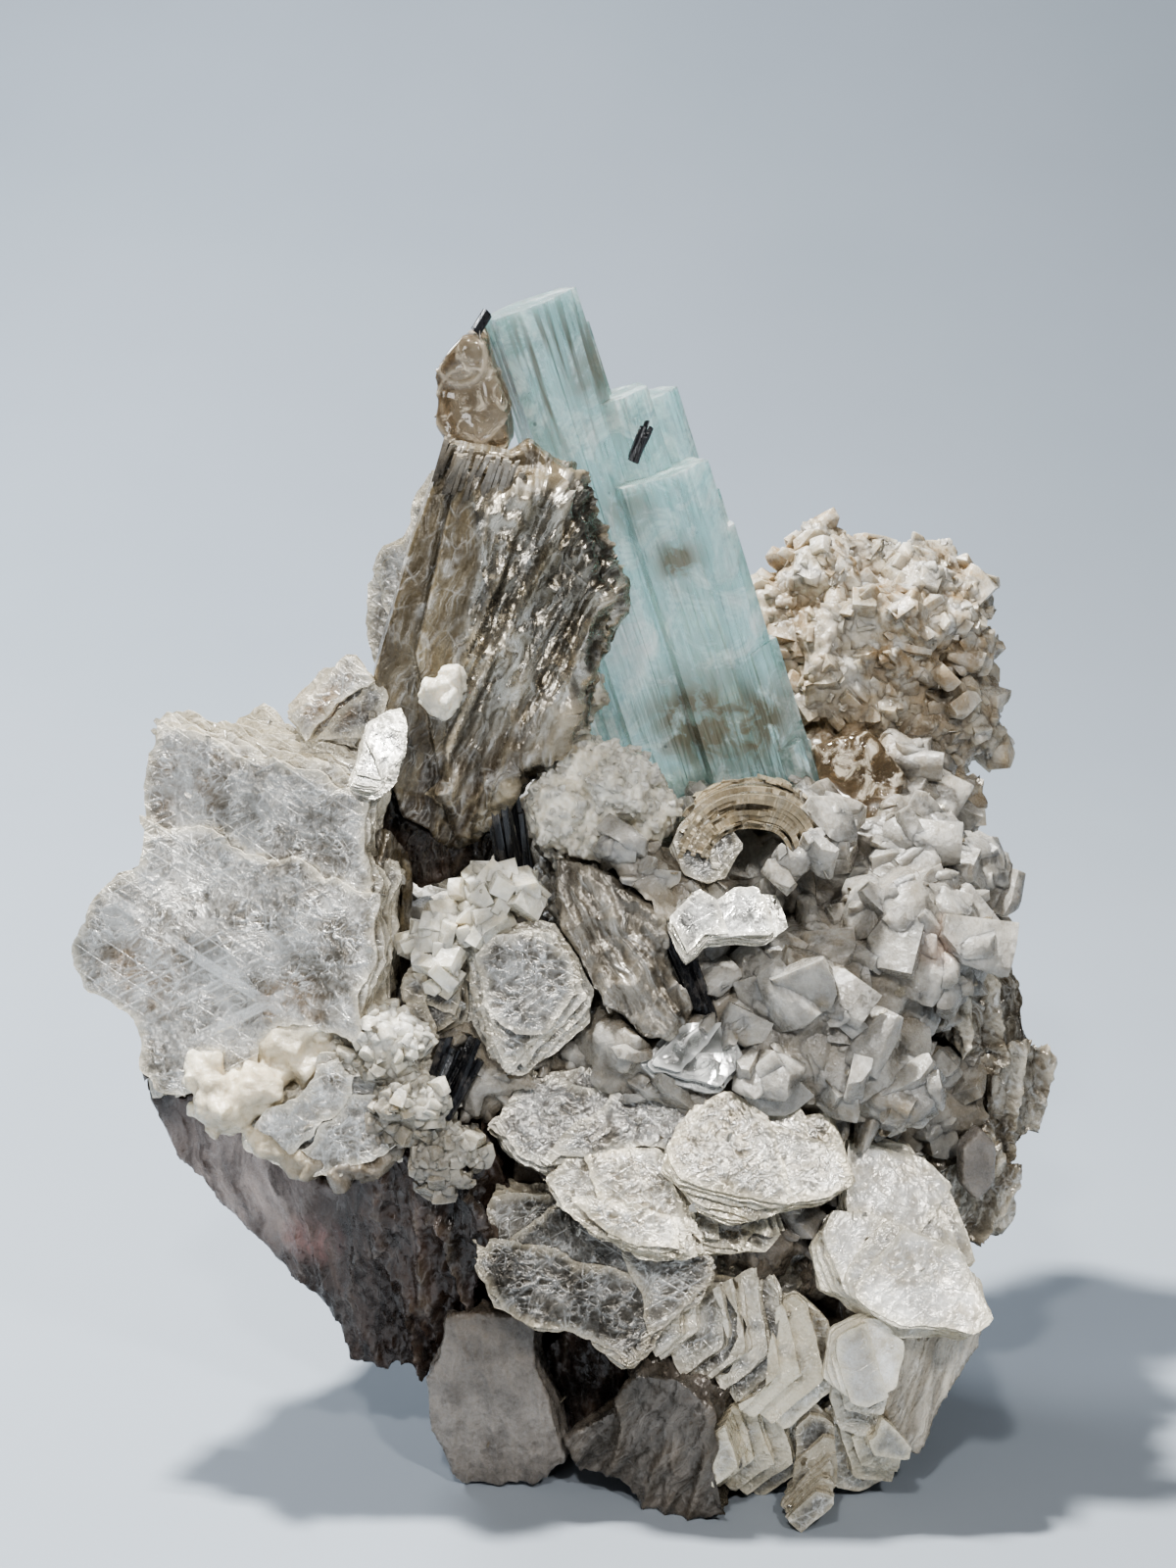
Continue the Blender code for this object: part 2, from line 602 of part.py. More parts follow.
clear_scene()
workshop = new_collection("workshop")
assemble(new_collection("aquamarine specimen"))
for helper in list(workshop.objects):
    bpy.data.objects.remove(helper)
bpy.data.collections.remove(workshop)
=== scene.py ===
"""Aquamarine crystals standing in mica books and albite: the finished looks over the frame.

Frame: +Z up, +X to the right, -Y to the front. Lengths are millimetres, which MM turns into
Blender's metres, and angles are degrees.
"""

import json
import math
import random

import bpy
import numpy as np
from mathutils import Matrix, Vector, geometry
from mathutils.bvhtree import BVHTree

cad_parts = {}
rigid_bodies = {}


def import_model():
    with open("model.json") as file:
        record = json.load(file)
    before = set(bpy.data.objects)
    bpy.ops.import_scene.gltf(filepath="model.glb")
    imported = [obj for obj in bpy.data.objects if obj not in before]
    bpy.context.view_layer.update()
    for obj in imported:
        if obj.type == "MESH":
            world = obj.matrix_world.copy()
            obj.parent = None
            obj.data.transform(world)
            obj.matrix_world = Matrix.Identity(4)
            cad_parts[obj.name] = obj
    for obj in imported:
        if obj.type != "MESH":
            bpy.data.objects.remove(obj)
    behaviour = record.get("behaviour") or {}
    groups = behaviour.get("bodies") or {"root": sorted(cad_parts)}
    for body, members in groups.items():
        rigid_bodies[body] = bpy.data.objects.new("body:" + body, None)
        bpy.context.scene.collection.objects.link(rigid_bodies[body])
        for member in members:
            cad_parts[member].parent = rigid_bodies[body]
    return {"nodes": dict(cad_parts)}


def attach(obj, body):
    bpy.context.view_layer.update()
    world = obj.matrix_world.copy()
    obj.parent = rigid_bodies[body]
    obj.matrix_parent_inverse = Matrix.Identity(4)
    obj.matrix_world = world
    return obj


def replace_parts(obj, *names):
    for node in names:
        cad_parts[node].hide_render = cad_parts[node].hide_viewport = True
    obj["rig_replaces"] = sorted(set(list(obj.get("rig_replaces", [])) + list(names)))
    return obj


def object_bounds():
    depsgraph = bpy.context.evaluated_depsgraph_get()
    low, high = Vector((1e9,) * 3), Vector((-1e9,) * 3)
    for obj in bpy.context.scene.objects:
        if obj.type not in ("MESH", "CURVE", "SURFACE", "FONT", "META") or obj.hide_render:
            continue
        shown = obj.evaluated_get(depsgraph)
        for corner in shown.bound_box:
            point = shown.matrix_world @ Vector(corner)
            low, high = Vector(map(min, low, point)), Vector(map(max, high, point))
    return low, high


MM = 0.001

# The view: how far the camera stands off, how far it looks down, and what it looks at.
VIEW_DISTANCE = 240
VIEW_DOWN = 15
VIEW_CENTRE = (0, 0, 57)
VIEW_HEIGHT = 128
SENSOR_HEIGHT = 24

# The studio: a floor that sweeps up into a wall behind.
FLOOR_SIZE = 2400
FLOOR_MIDDLE = -600
WALL_HEIGHT = 1500
SWEEP_RADIUS = 420
# Its lights: name, place, the point that it looks at, side, power and colour.
LIGHTS = [
    ("key", (-90, 20, 400), (0, 0, 45), 26, 3.7, (0.99, 0.985, 0.955)),
    ("left_fill", (-150, -320, 110), (0, 0, 50), 70, 0.14, (0.95, 0.97, 1.0)),
    ("glint", (-50, -280, 330), (0, 0, 40), 24, 0.6, (1.0, 0.985, 0.96)),
    ("glint_right", (110, -240, 250), (10, 0, 20), 24, 0.42, (1.0, 0.985, 0.96)),
    ("back_left", (-260, 260, 260), (0, 0, 60), 120, 1.4, (0.9, 0.95, 1.0)),
    ("wall_wash", (-200, 300, 520), (-260, 600, 330), 180, 2.4, (0.86, 0.93, 1.0)),
]

# How far the finished skin may stand past the frame's box.
BOX_MARGIN = 0.4
# How many waves one noise is summed from.
SWELL_WAVES = 24

# Mica sheets: the step along an outline, the spacing of the corners inside a sheet where it shows
# and where it is hidden, the width of the pale rim, and how far an outline grows over its gap.
EDGE_STEP = 0.45
FINE_FILL = 0.8
COARSE_FILL = 3.2
RIM_WIDTH = 0.5
GAP_COVER = 0.14
# A cut and a worked outline whose doubled area is smaller than this make no sheet.
LEAST_CUT = 1.0
LEAST_SHEET = 0.6
# A book narrower than this is waved and creased less.
WAVED_REACH = 14
# The sizes of a torn edge's bites, from large to fine, and how fast they change from sheet to sheet.
BITE, NIBBLE, NICK, FINE_NICK = 4.5, 2.0, 1.3, 0.6
SHARED_TEAR, OWN_TEAR = 0.7, 6.0
# The sizes of a sheet's bending: the book's wave, its ripple, its wrinkles, and the width and the
# waves of the frayed edge.
WAVE, RIPPLE, WRINKLE, FRAY_WIDTH, FRAY = 9, 4, 3.0, 1.6, 2.5
# The height of a triangle whose sides are 1, for rows of corners.
ROW_HEIGHT = 0.87
# Patterns of a book seen edge on: the size of each, and how much it is drawn out along the fibres.
FOLDS, STRANDS, CRUMBS, HAIRS, CREASES = (2.8, 0.32), (0.9, 0.12), (0.7, 0.4), (0.55, 0.03), (2.2, 0.02)
BROAD_BANDS, FINE_BANDS, WANDER = (1.1, 0.03), (0.45, 0.05), (4, 0.3)
# Millimetres to one unit of the flat map.
FLAT_UNIT = 10
HEX_DIRECTIONS = [(math.cos(math.radians(a)), math.sin(math.radians(a))) for a in range(15, 375, 60)]

# Aquamarine: every crystal leans the same way and stands on the same level.
CRYSTAL_AXIS = Vector((-0.3, -0.05, 0.953)).normalized()
CRYSTAL_FOOT = 44
CRYSTALS = [
    ((-4.9, 5, 95.4), 4.2, 12), ((2.1, 6, 88.0), 2.9, 5), ((5.5, 4.5, 81.9), 4.4, 10),
    ((4.6, 9, 87.5), 2.8, 20), ((9.2, 5.5, 77.0), 3.0, 0), ((12.4, 6, 67.0), 3.4, 8),
    ((-3.4, 7.5, 81.0), 3.8, 15),
]
STEPS_ON_CRYSTAL = 4

# Albite: how many kinds of grain a layer draws from, how strewn a trail of them is, how high a
# crest stands, and the size of the crumbling of its skin.
BLOCK_KINDS = 10
TRAIL_STEP = 0.4
TRAIL_SCATTER = 0.25
CREST_HEIGHT = 1.3
CRUMBLE_SIZE = 0.7
# How far round a place on the skin its neighbours are looked for.
MOST_ROOM = 6.0
# How far away a nook's walls may be.
NOOK_REACH = 4.0

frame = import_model()
cad_box = [list(corner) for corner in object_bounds()]
NODES = frame["nodes"]


# ---------------------------------------------------------------- reading the frame


def shape_of(piece):
    """An object's corners in millimetres, and its triangles."""
    mesh = piece.data
    mesh.calc_loop_triangles()
    corners = np.empty(len(mesh.vertices) * 3)
    mesh.vertices.foreach_get("co", corners)
    faces = np.empty(len(mesh.loop_triangles) * 3, int)
    mesh.loop_triangles.foreach_get("vertices", faces)
    return corners.reshape(-1, 3) / MM, faces.reshape(-1, 3)


def solid_of(name):
    """A frame node's corners in millimetres, with its doubles merged, and its triangles."""
    corners, faces = shape_of(NODES[name])
    merged, index = np.unique(np.round(corners, 4), axis=0, return_inverse=True)
    faces = index.reshape(-1)[faces]
    whole = (faces != np.roll(faces, 1, axis=1)).all(axis=1)
    return merged, faces[whole]


def stacked(shapes):
    """The corners and triangles of several shapes as one set."""
    starts = np.cumsum([0] + [len(corners) for corners, _ in shapes])
    faces = [triangles + start for (_, triangles), start in zip(shapes, starts)]
    return np.vstack([corners for corners, _ in shapes]), np.vstack(faces)


def search_tree(corners, faces):
    return BVHTree.FromPolygons(corners.tolist(), faces.tolist())


def seed_of(name):
    """A seed of its own for each node, the same in every run."""
    return sum(ord(letter) for letter in name)


def facing_axes(turn, tilt):
    """Rows: a book's right, its up, and the way that its face looks."""
    around, upward = math.radians(turn), math.radians(tilt)
    level = math.cos(upward)
    out = np.array([math.sin(around) * level, -math.cos(around) * level, math.sin(upward)])
    right = np.cross((0, 0, 1), out)
    right /= np.linalg.norm(right)
    return np.array([right, np.cross(out, right), out])


def cut_loops(corners, faces, level):
    """The closed outlines where a level third coordinate cuts the solid."""
    above = corners[:, 2] > level
    crossed = faces[above[faces].any(axis=1) & ~above[faces].all(axis=1)]
    follow = {}
    for face in crossed:
        for k in range(3):
            a, b = int(face[k]), int(face[(k + 1) % 3])
            if above[b] and not above[a]:
                rising = (min(a, b), max(a, b))
            elif above[a] and not above[b]:
                falling = (min(a, b), max(a, b))
        follow[rising] = falling
    loops = []
    while follow:
        edge, after = follow.popitem()
        chain = [edge]
        while after in follow:
            chain.append(after)
            after = follow.pop(after)
        ends = np.array(chain)
        low, high = corners[ends[:, 0]], corners[ends[:, 1]]
        share = (level - low[:, 2]) / (high[:, 2] - low[:, 2])
        loops.append(low[:, :2] + share[:, None] * (high - low)[:, :2])
    return loops


def doubled_area(loop):
    x, y = loop.T
    return float(x @ np.roll(y, -1) - y @ np.roll(x, -1))


# ---------------------------------------------------------------- mica sheets


def swell(points, size, seed):
    """Smooth noise, from about -1 to 1, with bumps about `size` across."""
    rng = np.random.default_rng(seed)
    turns = rng.normal(size=(SWELL_WAVES, points.shape[1]))
    lengths = rng.uniform(0.6, 1.5, (SWELL_WAVES, 1))
    turns *= lengths * math.pi / size / np.linalg.norm(turns, axis=1)[:, None]
    shifts = rng.uniform(0, 2 * math.pi, SWELL_WAVES)
    return np.sin(points @ turns.T + shifts).sum(axis=1) / 5


def stepped(values, step):
    """Values that jump from one level to the next, as a brittle edge does."""
    return 0.25 * values + 0.75 * step * np.round(values / step)


def ridges(points, size, seed):
    """Noise with sharp crests, from 0 in the folds to 1 on the crests."""
    return np.clip(1 - 1.3 * np.abs(swell(points, size, seed)), 0, 1)


def drawn_out(points, pattern):
    """Corners squeezed along the fibres, so that noise on them is drawn out, and the noise's size."""
    size, squeeze = pattern
    return points * (1, 1, squeeze), size


def ramp(values, start, length, least=0.0):
    """A share that rises from `least` to 1 over a length, or falls where that is negative."""
    return np.clip((values - start) / length, least, 1)


def resampled(loop, step):
    closed = np.vstack([loop, loop[:1]])
    along = np.concatenate([[0], np.cumsum(np.linalg.norm(np.diff(closed, axis=0), axis=1))])
    count = max(8, int(along[-1] / step))
    marks = np.linspace(0, along[-1], count, endpoint=False)
    return np.column_stack([np.interp(marks, along, closed[:, k]) for k in (0, 1)])


def clipped(loop, direction, limit):
    """The outline without what lies past `limit` along the direction."""
    past = loop @ np.asarray(direction) - limit
    if (past <= 0).all():
        return loop
    kept = []
    for k in range(len(loop)):
        here, there = past[k - 1], past[k]
        if (here > 0) != (there > 0):
            kept.append(loop[k - 1] + (loop[k] - loop[k - 1]) * here / (here - there))
        if there <= 0:
            kept.append(loop[k])
    return np.array(kept) if len(kept) > 2 else None


def torn(loop, level, packet, style, seed):
    """The outline with a torn edge that runs on, in part, into the sheets beside it."""
    loop = resampled(loop, EDGE_STEP)
    along = np.roll(loop, -1, axis=0) - np.roll(loop, 1, axis=0)
    along /= np.linalg.norm(along, axis=1)[:, None] + 1e-9
    inward = np.column_stack([-along[:, 1], along[:, 0]])
    if doubled_area(loop) < 0:
        inward = -inward
    flat = loop * (1, style["grain"])
    shared = np.column_stack([flat, np.full(len(loop), level * SHARED_TEAR)])
    own = np.column_stack([flat, np.full(len(loop), level * OWN_TEAR)])
    bite = style["torn"] * (0.1 + 1.1 * stepped(swell(shared, BITE, seed), 0.45)) + packet
    bite += style["torn"] * 0.6 * stepped(swell(own, NIBBLE, seed + 3), 0.6)
    bite += style["nick"] * (swell(own, NICK, seed + 1) + 0.6 * swell(own, FINE_NICK, seed + 2))
    return loop + inward * (np.clip(bite, -0.8, 2.5) - GAP_COVER)[:, None]


def packets(count, depth, rng):
    """How far each sheet stands back, the same for a few sheets that split off together."""
    setbacks = []
    while len(setbacks) < count:
        setbacks += [float(rng.exponential(depth))] * int(rng.integers(1, 5))
    return np.clip(np.array(setbacks[:count]) + rng.uniform(-0.04, 0.04, count), 0, 4 * depth + 0.05)


def inside(loop, points):
    """Which points lie inside the outline, and how far each is from it."""
    a, b = loop, np.roll(loop, -1, axis=0)
    edge = b - a
    x, y = points[:, :1], points[:, 1:]
    straddles = (a[:, 1] > y) != (b[:, 1] > y)
    with np.errstate(divide="ignore", invalid="ignore"):
        crossing = a[:, 0] + (y - a[:, 1]) * edge[:, 0] / edge[:, 1]
    within = (straddles & (x < crossing)).sum(axis=1) % 2 == 1
    length = (edge**2).sum(axis=1) + 1e-12
    share = np.clip(((x - a[:, 0]) * edge[:, 0] + (y - a[:, 1]) * edge[:, 1]) / length, 0, 1)
    away = np.hypot(x - a[:, 0] - share * edge[:, 0], y - a[:, 1] - share * edge[:, 1])
    return within, away.min(axis=1)


def filled(loop, shown, rng):
    """Corners, triangles and distance from the edge, for a sheet's outline."""
    spacing = FINE_FILL if shown else COARSE_FILL
    low, high = loop.min(axis=0), loop.max(axis=0)
    rows = np.arange(low[1], high[1], spacing * ROW_HEIGHT)
    columns = np.arange(low[0], high[0], spacing)
    grid = np.array([(x + spacing / 2 * (k % 2), y) for k, y in enumerate(rows) for x in columns])
    if len(grid):
        grid = grid + rng.uniform(-0.25, 0.25, grid.shape) * spacing
        within, away = inside(loop, grid)
        grid = grid[within & (away > 0.45 * min(spacing, 1.0))]
    outline = [Vector(point) for point in loop]
    scattered = [Vector(point) for point in grid] if len(grid) else []
    edges = [list(range(len(outline)))]
    found = geometry.delaunay_2d_cdt(outline + scattered, [], edges, 1, 1e-5)
    corners = np.array([tuple(point) for point in found[0]])
    triangles = np.array([face for face in found[2] if len(face) == 3], int)
    if not len(triangles):
        return None
    a, b, c = (corners[triangles[:, k]] for k in range(3))
    turned = np.cross(b - a, c - a) < 0
    triangles[turned] = triangles[turned][:, ::-1]
    return corners, triangles, inside(loop, corners)[1]


def rim_edges(triangles):
    """The directed edges that only one triangle uses."""
    edges = np.vstack([triangles[:, [0, 1]], triangles[:, [1, 2]], triangles[:, [2, 0]]])
    keys = np.sort(edges, axis=1)
    _, index, count = np.unique(keys, axis=0, return_inverse=True, return_counts=True)
    return edges[count[index.reshape(-1)] == 1]


def sheet(corners, triangles, away, level, thickness, bend):
    """A closed thin sheet: both faces and the rim between them."""
    count = len(corners)
    taper = 0.8 + 0.2 * np.clip(away / RIM_WIDTH, 0, 1)
    height = level + bend
    top = np.column_stack([corners, height + thickness / 2 * taper])
    under = np.column_stack([corners, height - thickness / 2 * taper])
    edges = rim_edges(triangles)
    a, b = edges.T
    wall = np.vstack([np.column_stack([a + count, b + count, b]), np.column_stack([a + count, b, a])])
    faces = np.vstack([triangles, triangles[:, ::-1] + count, wall])
    rim = np.clip(1 - away / RIM_WIDTH, 0, 1)
    return np.vstack([top, under]), faces, np.concatenate([rim, rim])


def book_levels(low, high, pitch, rng):
    """Where the sheets of a book lie, unevenly spaced, and each sheet's thickness."""
    count = max(2, int((high - low) / pitch))
    steps = rng.choice((0.45, 0.7, 1.0, 1.5, 2.2), count) * rng.uniform(0.8, 1.2, count)
    steps *= (high - low) / steps.sum()
    return low + np.cumsum(steps) - steps / 2, steps


def book_sheets(corners, faces, style, seed):
    """All the sheets of one book, in the book's own flat coordinates."""
    rng = np.random.default_rng(seed)
    low, high = corners[:, 2].min() + 0.02, corners[:, 2].max() - 0.02
    levels, steps = book_levels(low, high, style["pitch"], rng)
    last = len(levels) - 1
    run = style["run"] * rng.choice([0, 0, 0.5, 1, 1.5], 6)
    run_length = rng.integers(2, 3 + max(1, last), 6)
    if style["stairs"]:
        run = np.array([style["run"] * (side in style["stairs"]) for side in range(6)])
        run_length = np.full(6, last + 1)
    rng.uniform(0, 1, len(levels) * 2)  # Passed over: every later draw keeps its place.
    setback = packets(len(levels), style["packet"], rng)
    calm = min(1, np.ptp(corners[:, :2], axis=0).min() / WAVED_REACH)
    style = {**style, "wave": style["wave"] * calm, "crease": style["crease"] * calm}
    parts = []
    for k, (level, step) in enumerate(zip(levels, steps)):
        depth = last - k
        for loop in cut_loops(corners, faces, level):
            if abs(doubled_area(loop)) < LEAST_CUT:
                continue
            loop = worked_outline(loop, depth, (run, run_length), style, rng)
            if loop is None or abs(doubled_area(loop)) < LEAST_SHEET:
                continue
            loop = torn(loop, level, setback[k], style, seed)
            made = filled(loop, depth < 2 + style["terraces"] or k < 2, rng)
            if made is None:
                continue
            flat, triangles, away = made
            bend = sheet_bend(flat, level, away, style, seed)
            points, triangles, rim = sheet(flat, triangles, away, level, step * style["fill"], bend)
            parts.append((points, triangles, rim, rng.uniform(0, 1)))
    return parts


def worked_outline(loop, depth, runs, style, rng):
    """A sheet's outline after its growth steps and its broken terraces."""
    for direction, back, length in zip(HEX_DIRECTIONS, *runs):
        setback = back * max(0, length - depth // style["group"] * style["group"])
        if loop is not None and setback > 0:
            reach = loop @ np.array(direction)
            most = style["climb"] * np.ptp(reach)
            loop = clipped(loop, direction, reach.max() - min(setback, most))
    if loop is not None and depth < style["terraces"]:
        direction = HEX_DIRECTIONS[rng.integers(6)]
        reach = loop @ np.array(direction)
        share = (depth + rng.uniform(0, 1)) / style["terraces"]
        share = style["cover"] + (0.92 - style["cover"]) * share
        loop = clipped(loop, direction, reach.min() + share * (reach.max() - reach.min()))
    return loop


def sheet_bend(flat, level, away, style, seed):
    """How far a sheet lies from flat: the book's own wave, wrinkles, and a frayed edge."""
    place = np.column_stack([flat, np.full(len(flat), level)])
    bend = style["wave"] * swell(flat, WAVE, seed)
    bend += 0.3 * style["wave"] * swell(place, RIPPLE, seed + 5)
    crease = 1 - np.abs(swell(flat, WRINKLE, seed + 6))
    bend += style["crease"] * np.clip(crease, 0, 1) ** 4
    edge = np.clip(1 - away / FRAY_WIDTH, 0, 1) ** 2
    return bend + style["fray"] * edge * swell(place * (1, 1, OWN_TEAR), FRAY, seed + 7)


def joined(parts, put_back):
    """Corners, triangles, flat places, rims and tone numbers of all the sheets, as one set."""
    corners, faces = stacked([(put_back(points), triangles) for points, triangles, _, _ in parts])
    flats = np.concatenate([points[:, :2] for points, _, _, _ in parts])
    rims = np.concatenate([rim for _, _, rim, _ in parts])
    tones_and_shades = np.concatenate([np.full(len(points), ply) for points, _, _, ply in parts])
    return corners, faces, flats, rims, tones_and_shades


def mark_corners(mesh, mark, values):
    """Stores one number on each corner, for a finish to read."""
    attribute = mesh.attributes.new(mark, "FLOAT", "POINT")
    attribute.data.foreach_set("value", np.asarray(values, np.float32))


def mark_sheets(mesh, flats, rims, tones_and_shades, silver):
    """Stores the flat map and the three marks that a mica finish reads."""
    used = np.empty(len(mesh.loops), int)
    mesh.loops.foreach_get("vertex_index", used)
    layer = mesh.uv_layers.new(name="flat")
    layer.data.foreach_set("uv", (flats[used] / FLAT_UNIT).astype(np.float32).ravel())
    for mark, values in (("rim", rims), ("ply", tones_and_shades), ("silver", silver)):
        mark_corners(mesh, mark, values)


def mesh_piece(name, corners, faces, flats=None, rims=None, tones_and_shades=None):
    """An object from corners in millimetres, with the marks that its finish reads."""
    corners = corners.copy()
    corners[:, 2] = np.maximum(corners[:, 2], 0)
    mesh = bpy.data.meshes.new(name)
    mesh.vertices.add(len(corners))
    mesh.vertices.foreach_set("co", (corners * MM).astype(np.float32).ravel())
    mesh.loops.add(len(faces) * 3)
    mesh.loops.foreach_set("vertex_index", faces.astype(np.int32).ravel())
    mesh.polygons.add(len(faces))
    mesh.polygons.foreach_set("loop_start", np.arange(0, len(faces) * 3, 3, dtype=np.int32))
    mesh.update(calc_edges=True)
    if flats is not None:
        mark_sheets(mesh, flats, rims, tones_and_shades, np.zeros(len(corners)))
    mesh.validate()
    piece = bpy.data.objects.new(name, mesh)
    bpy.context.scene.collection.objects.link(piece)
    return piece


# How a book is split. pitch and fill: the sheets' spacing, and how much of it each one fills.
# torn, nick, packet and grain: the edge's bites, its nicks, how far a packet of sheets stands back,
# and how the tears are drawn out. run, stairs, group and climb: the growth steps, the sides that
# have them on every sheet, the sheets to a step, and the most of the width that they take.
# terraces and cover: the broken sheets on the face, and how much the last one leaves. wave, crease
# and fray: how the sheets bend. grow: how far the book swells over the gap round its solid.
STYLE = {
    "pitch": 0.38, "fill": 0.98, "torn": 0.3, "nick": 0.07, "packet": 0.14, "grain": 1.0,
    "run": 0.25, "stairs": (), "group": 1, "climb": 0.22, "terraces": 3, "cover": 0.35,
    "wave": 0.22, "crease": 0.1, "fray": 0.12, "grow": 0.45,
}


def mica_book(node, facing, finish, **changes):
    """Stands a split book of sheets in place of a frame node."""
    style = {**STYLE, **changes}
    corners, faces = solid_of(node)
    axes = facing_axes(*facing)
    centre = corners.mean(axis=0)
    own = (corners - centre) @ axes.T
    own *= 1 + style["grow"] / np.abs(own).max(axis=0)
    parts = book_sheets(own, faces, style, seed_of(node))
    marks = joined(parts, lambda points: points @ axes + centre)
    return finished(mesh_piece(node + "_sheets", *marks), finish, node)


def curved_book(node, facing, centre, radius, finish, **changes):
    """A book whose sheets are bent round one axis, which looks along `facing`."""
    style = {**STYLE, **changes}
    corners, faces = solid_of(node)
    axes = facing_axes(*facing)
    local = (corners - np.array(centre)) @ axes.T
    angle = np.arctan2(-local[:, 0], local[:, 1])
    rolled = np.column_stack([angle * radius, local[:, 2], np.hypot(local[:, 0], local[:, 1])])

    def put_back(points):
        turn = points[:, 0] / radius
        far = points[:, 2] + 0.7 * swell(points * (1, 0.5, 0.3), 5, 8)
        out = np.column_stack([-np.sin(turn) * far, np.cos(turn) * far, points[:, 1]])
        return out @ axes + np.array(centre)

    parts = book_sheets(rolled, faces, style, seed_of(node))
    return finished(mesh_piece(node + "_sheets", *joined(parts, put_back)), finish, node)


def pick(piece):
    """Makes a piece the active one, and the only one selected."""
    bpy.ops.object.select_all(action="DESELECT")
    bpy.context.view_layer.objects.active = piece
    piece.select_set(True)


def finished(piece, finish, *nodes, angle=35):
    """Gives a piece its finish, smooth faces with crisp edges, its body and its frame nodes."""
    piece.data.materials.clear()
    piece.data.materials.append(FINISHES[finish])
    pick(piece)
    bpy.ops.object.shade_smooth_by_angle(angle=math.radians(angle))
    piece.select_set(False)
    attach(piece, "root")
    if nodes:
        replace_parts(piece, *nodes)
    return piece


# ---------------------------------------------------------------- albite grains


def others_tree(own):
    """A search tree over every frame node but the named one."""
    return search_tree(*stacked([solid_of(name) for name in NODES if name != own]))


def open_places(corners, faces, tree, count, rng, clear=2.2):
    """Random places on a solid's skin that nothing covers: point, outward way, room round it."""
    a, b, c = (corners[faces[:, k]] for k in range(3))
    normal = np.cross(b - a, c - a)
    area = np.linalg.norm(normal, axis=1)
    chosen = rng.choice(len(faces), count, p=area / area.sum())
    u, v = rng.uniform(0, 1, (2, count))
    over = u + v > 1
    u[over], v[over] = 1 - u[over], 1 - v[over]
    spots = a[chosen] + u[:, None] * (b - a)[chosen] + v[:, None] * (c - a)[chosen]
    ways = normal[chosen] / area[chosen][:, None]
    places = []
    for spot, way in zip(spots, ways):
        hit = tree.ray_cast(Vector(spot + way * 0.05), Vector(way), clear)
        if hit[0] is None:
            room = tree.find_nearest(Vector(spot), MOST_ROOM)[3]
            places.append((spot, way, MOST_ROOM if room is None else room))
    return places


def taken_shape(thing):
    """Ends the editing of a primitive, and takes its corners and triangles in place of it."""
    bpy.ops.mesh.select_all(action="SELECT")
    bpy.ops.mesh.quads_convert_to_tris()
    bpy.ops.object.mode_set(mode="OBJECT")
    points = np.array([tuple(vertex.co) for vertex in thing.data.vertices])
    triangles = np.array([tuple(face.vertices) for face in thing.data.polygons])
    bpy.data.objects.remove(thing)
    return points, triangles


def block_shape(seed, cuts):
    """A blocky grain, about 2 across, cut from a cube by slanting planes."""
    rng = random.Random(seed)
    bpy.ops.object.select_all(action="DESELECT")
    bpy.ops.mesh.primitive_cube_add(size=2)
    block = bpy.context.object
    bpy.ops.object.mode_set(mode="EDIT")
    for _ in range(cuts):
        way = Vector([rng.gauss(0, 1) for _ in range(3)]).normalized()
        bpy.ops.mesh.select_all(action="SELECT")
        bpy.ops.mesh.bisect(
            plane_co=way * rng.uniform(0.85, 1.15), plane_no=way, use_fill=True, clear_outer=True
        )
    return taken_shape(block)


def turned_axes(way, along, rng, wobble):
    """Three axes for a grain: the third near `way`, the first near `along`."""
    third = way + rng.normal(size=3) * wobble
    third /= np.linalg.norm(third)
    first = np.cross(np.cross(third, along + rng.normal(size=3) * wobble), third)
    first /= np.linalg.norm(first)
    return np.array([first, np.cross(third, first), third])


def apart_from(places, gap):
    """The places without those that lie nearer than `gap` to one before them."""
    kept = np.empty((0, 3))
    chosen = []
    for place in places:
        if not len(kept) or np.linalg.norm(kept - place[0], axis=1).min() > gap:
            kept = np.vstack([kept, place[0]])
            chosen.append(place)
    return chosen


def grains_on(places, shapes, layer, rng):
    """Grains set into the open places, small where neighbours are close."""
    low, high = layer["sizes"]
    grains = []
    for spot, way, room in apart_from(places, layer["apart"]):
        size = min(low + (high - low) * rng.uniform(0, 1) ** 1.6, 0.5 + 0.6 * room)
        points, triangles = shapes[rng.integers(len(shapes))]
        axes = turned_axes(way + layer["lift"], np.array(layer["along"]), rng, layer["wobble"])
        grain = points * np.array(layer["stretch"]) * size * rng.uniform(0.8, 1.2, 3)
        grains.append((grain @ axes + spot - way * size * layer["sunk"], triangles))
    return stacked(grains)


# ---------------------------------------------------------------- books seen edge on


def modified(piece, kind, **settings):
    """Adds one modifier to a piece and applies it."""
    pick(piece)
    step = piece.modifiers.new(kind.lower(), kind)
    for key, value in settings.items():
        setattr(step, key, value)
    bpy.ops.object.modifier_apply(modifier=step.name)
    return piece


def crumble_texture():
    texture = bpy.data.textures.new("crumble", "CLOUDS")
    texture.noise_scale = CRUMBLE_SIZE * MM
    texture.noise_depth = 2
    return texture


def corner_values(mesh, kind):
    """The corners' places or normals as rows of three."""
    values = np.empty(len(mesh.vertices) * 3)
    mesh.vertices.foreach_get(kind, values)
    return values.reshape(-1, 3)


def kept_inside(piece):
    """Pulls stray corners back to the frame's box, and keeps the base flat."""
    low, high = np.array(cad_box)
    points = corner_values(piece.data, "co")
    points = np.clip(points, low - BOX_MARGIN * MM, high + BOX_MARGIN * MM)
    points[:, 2] = np.maximum(points[:, 2], 0)
    piece.data.vertices.foreach_set("co", points.ravel())
    piece.data.update()


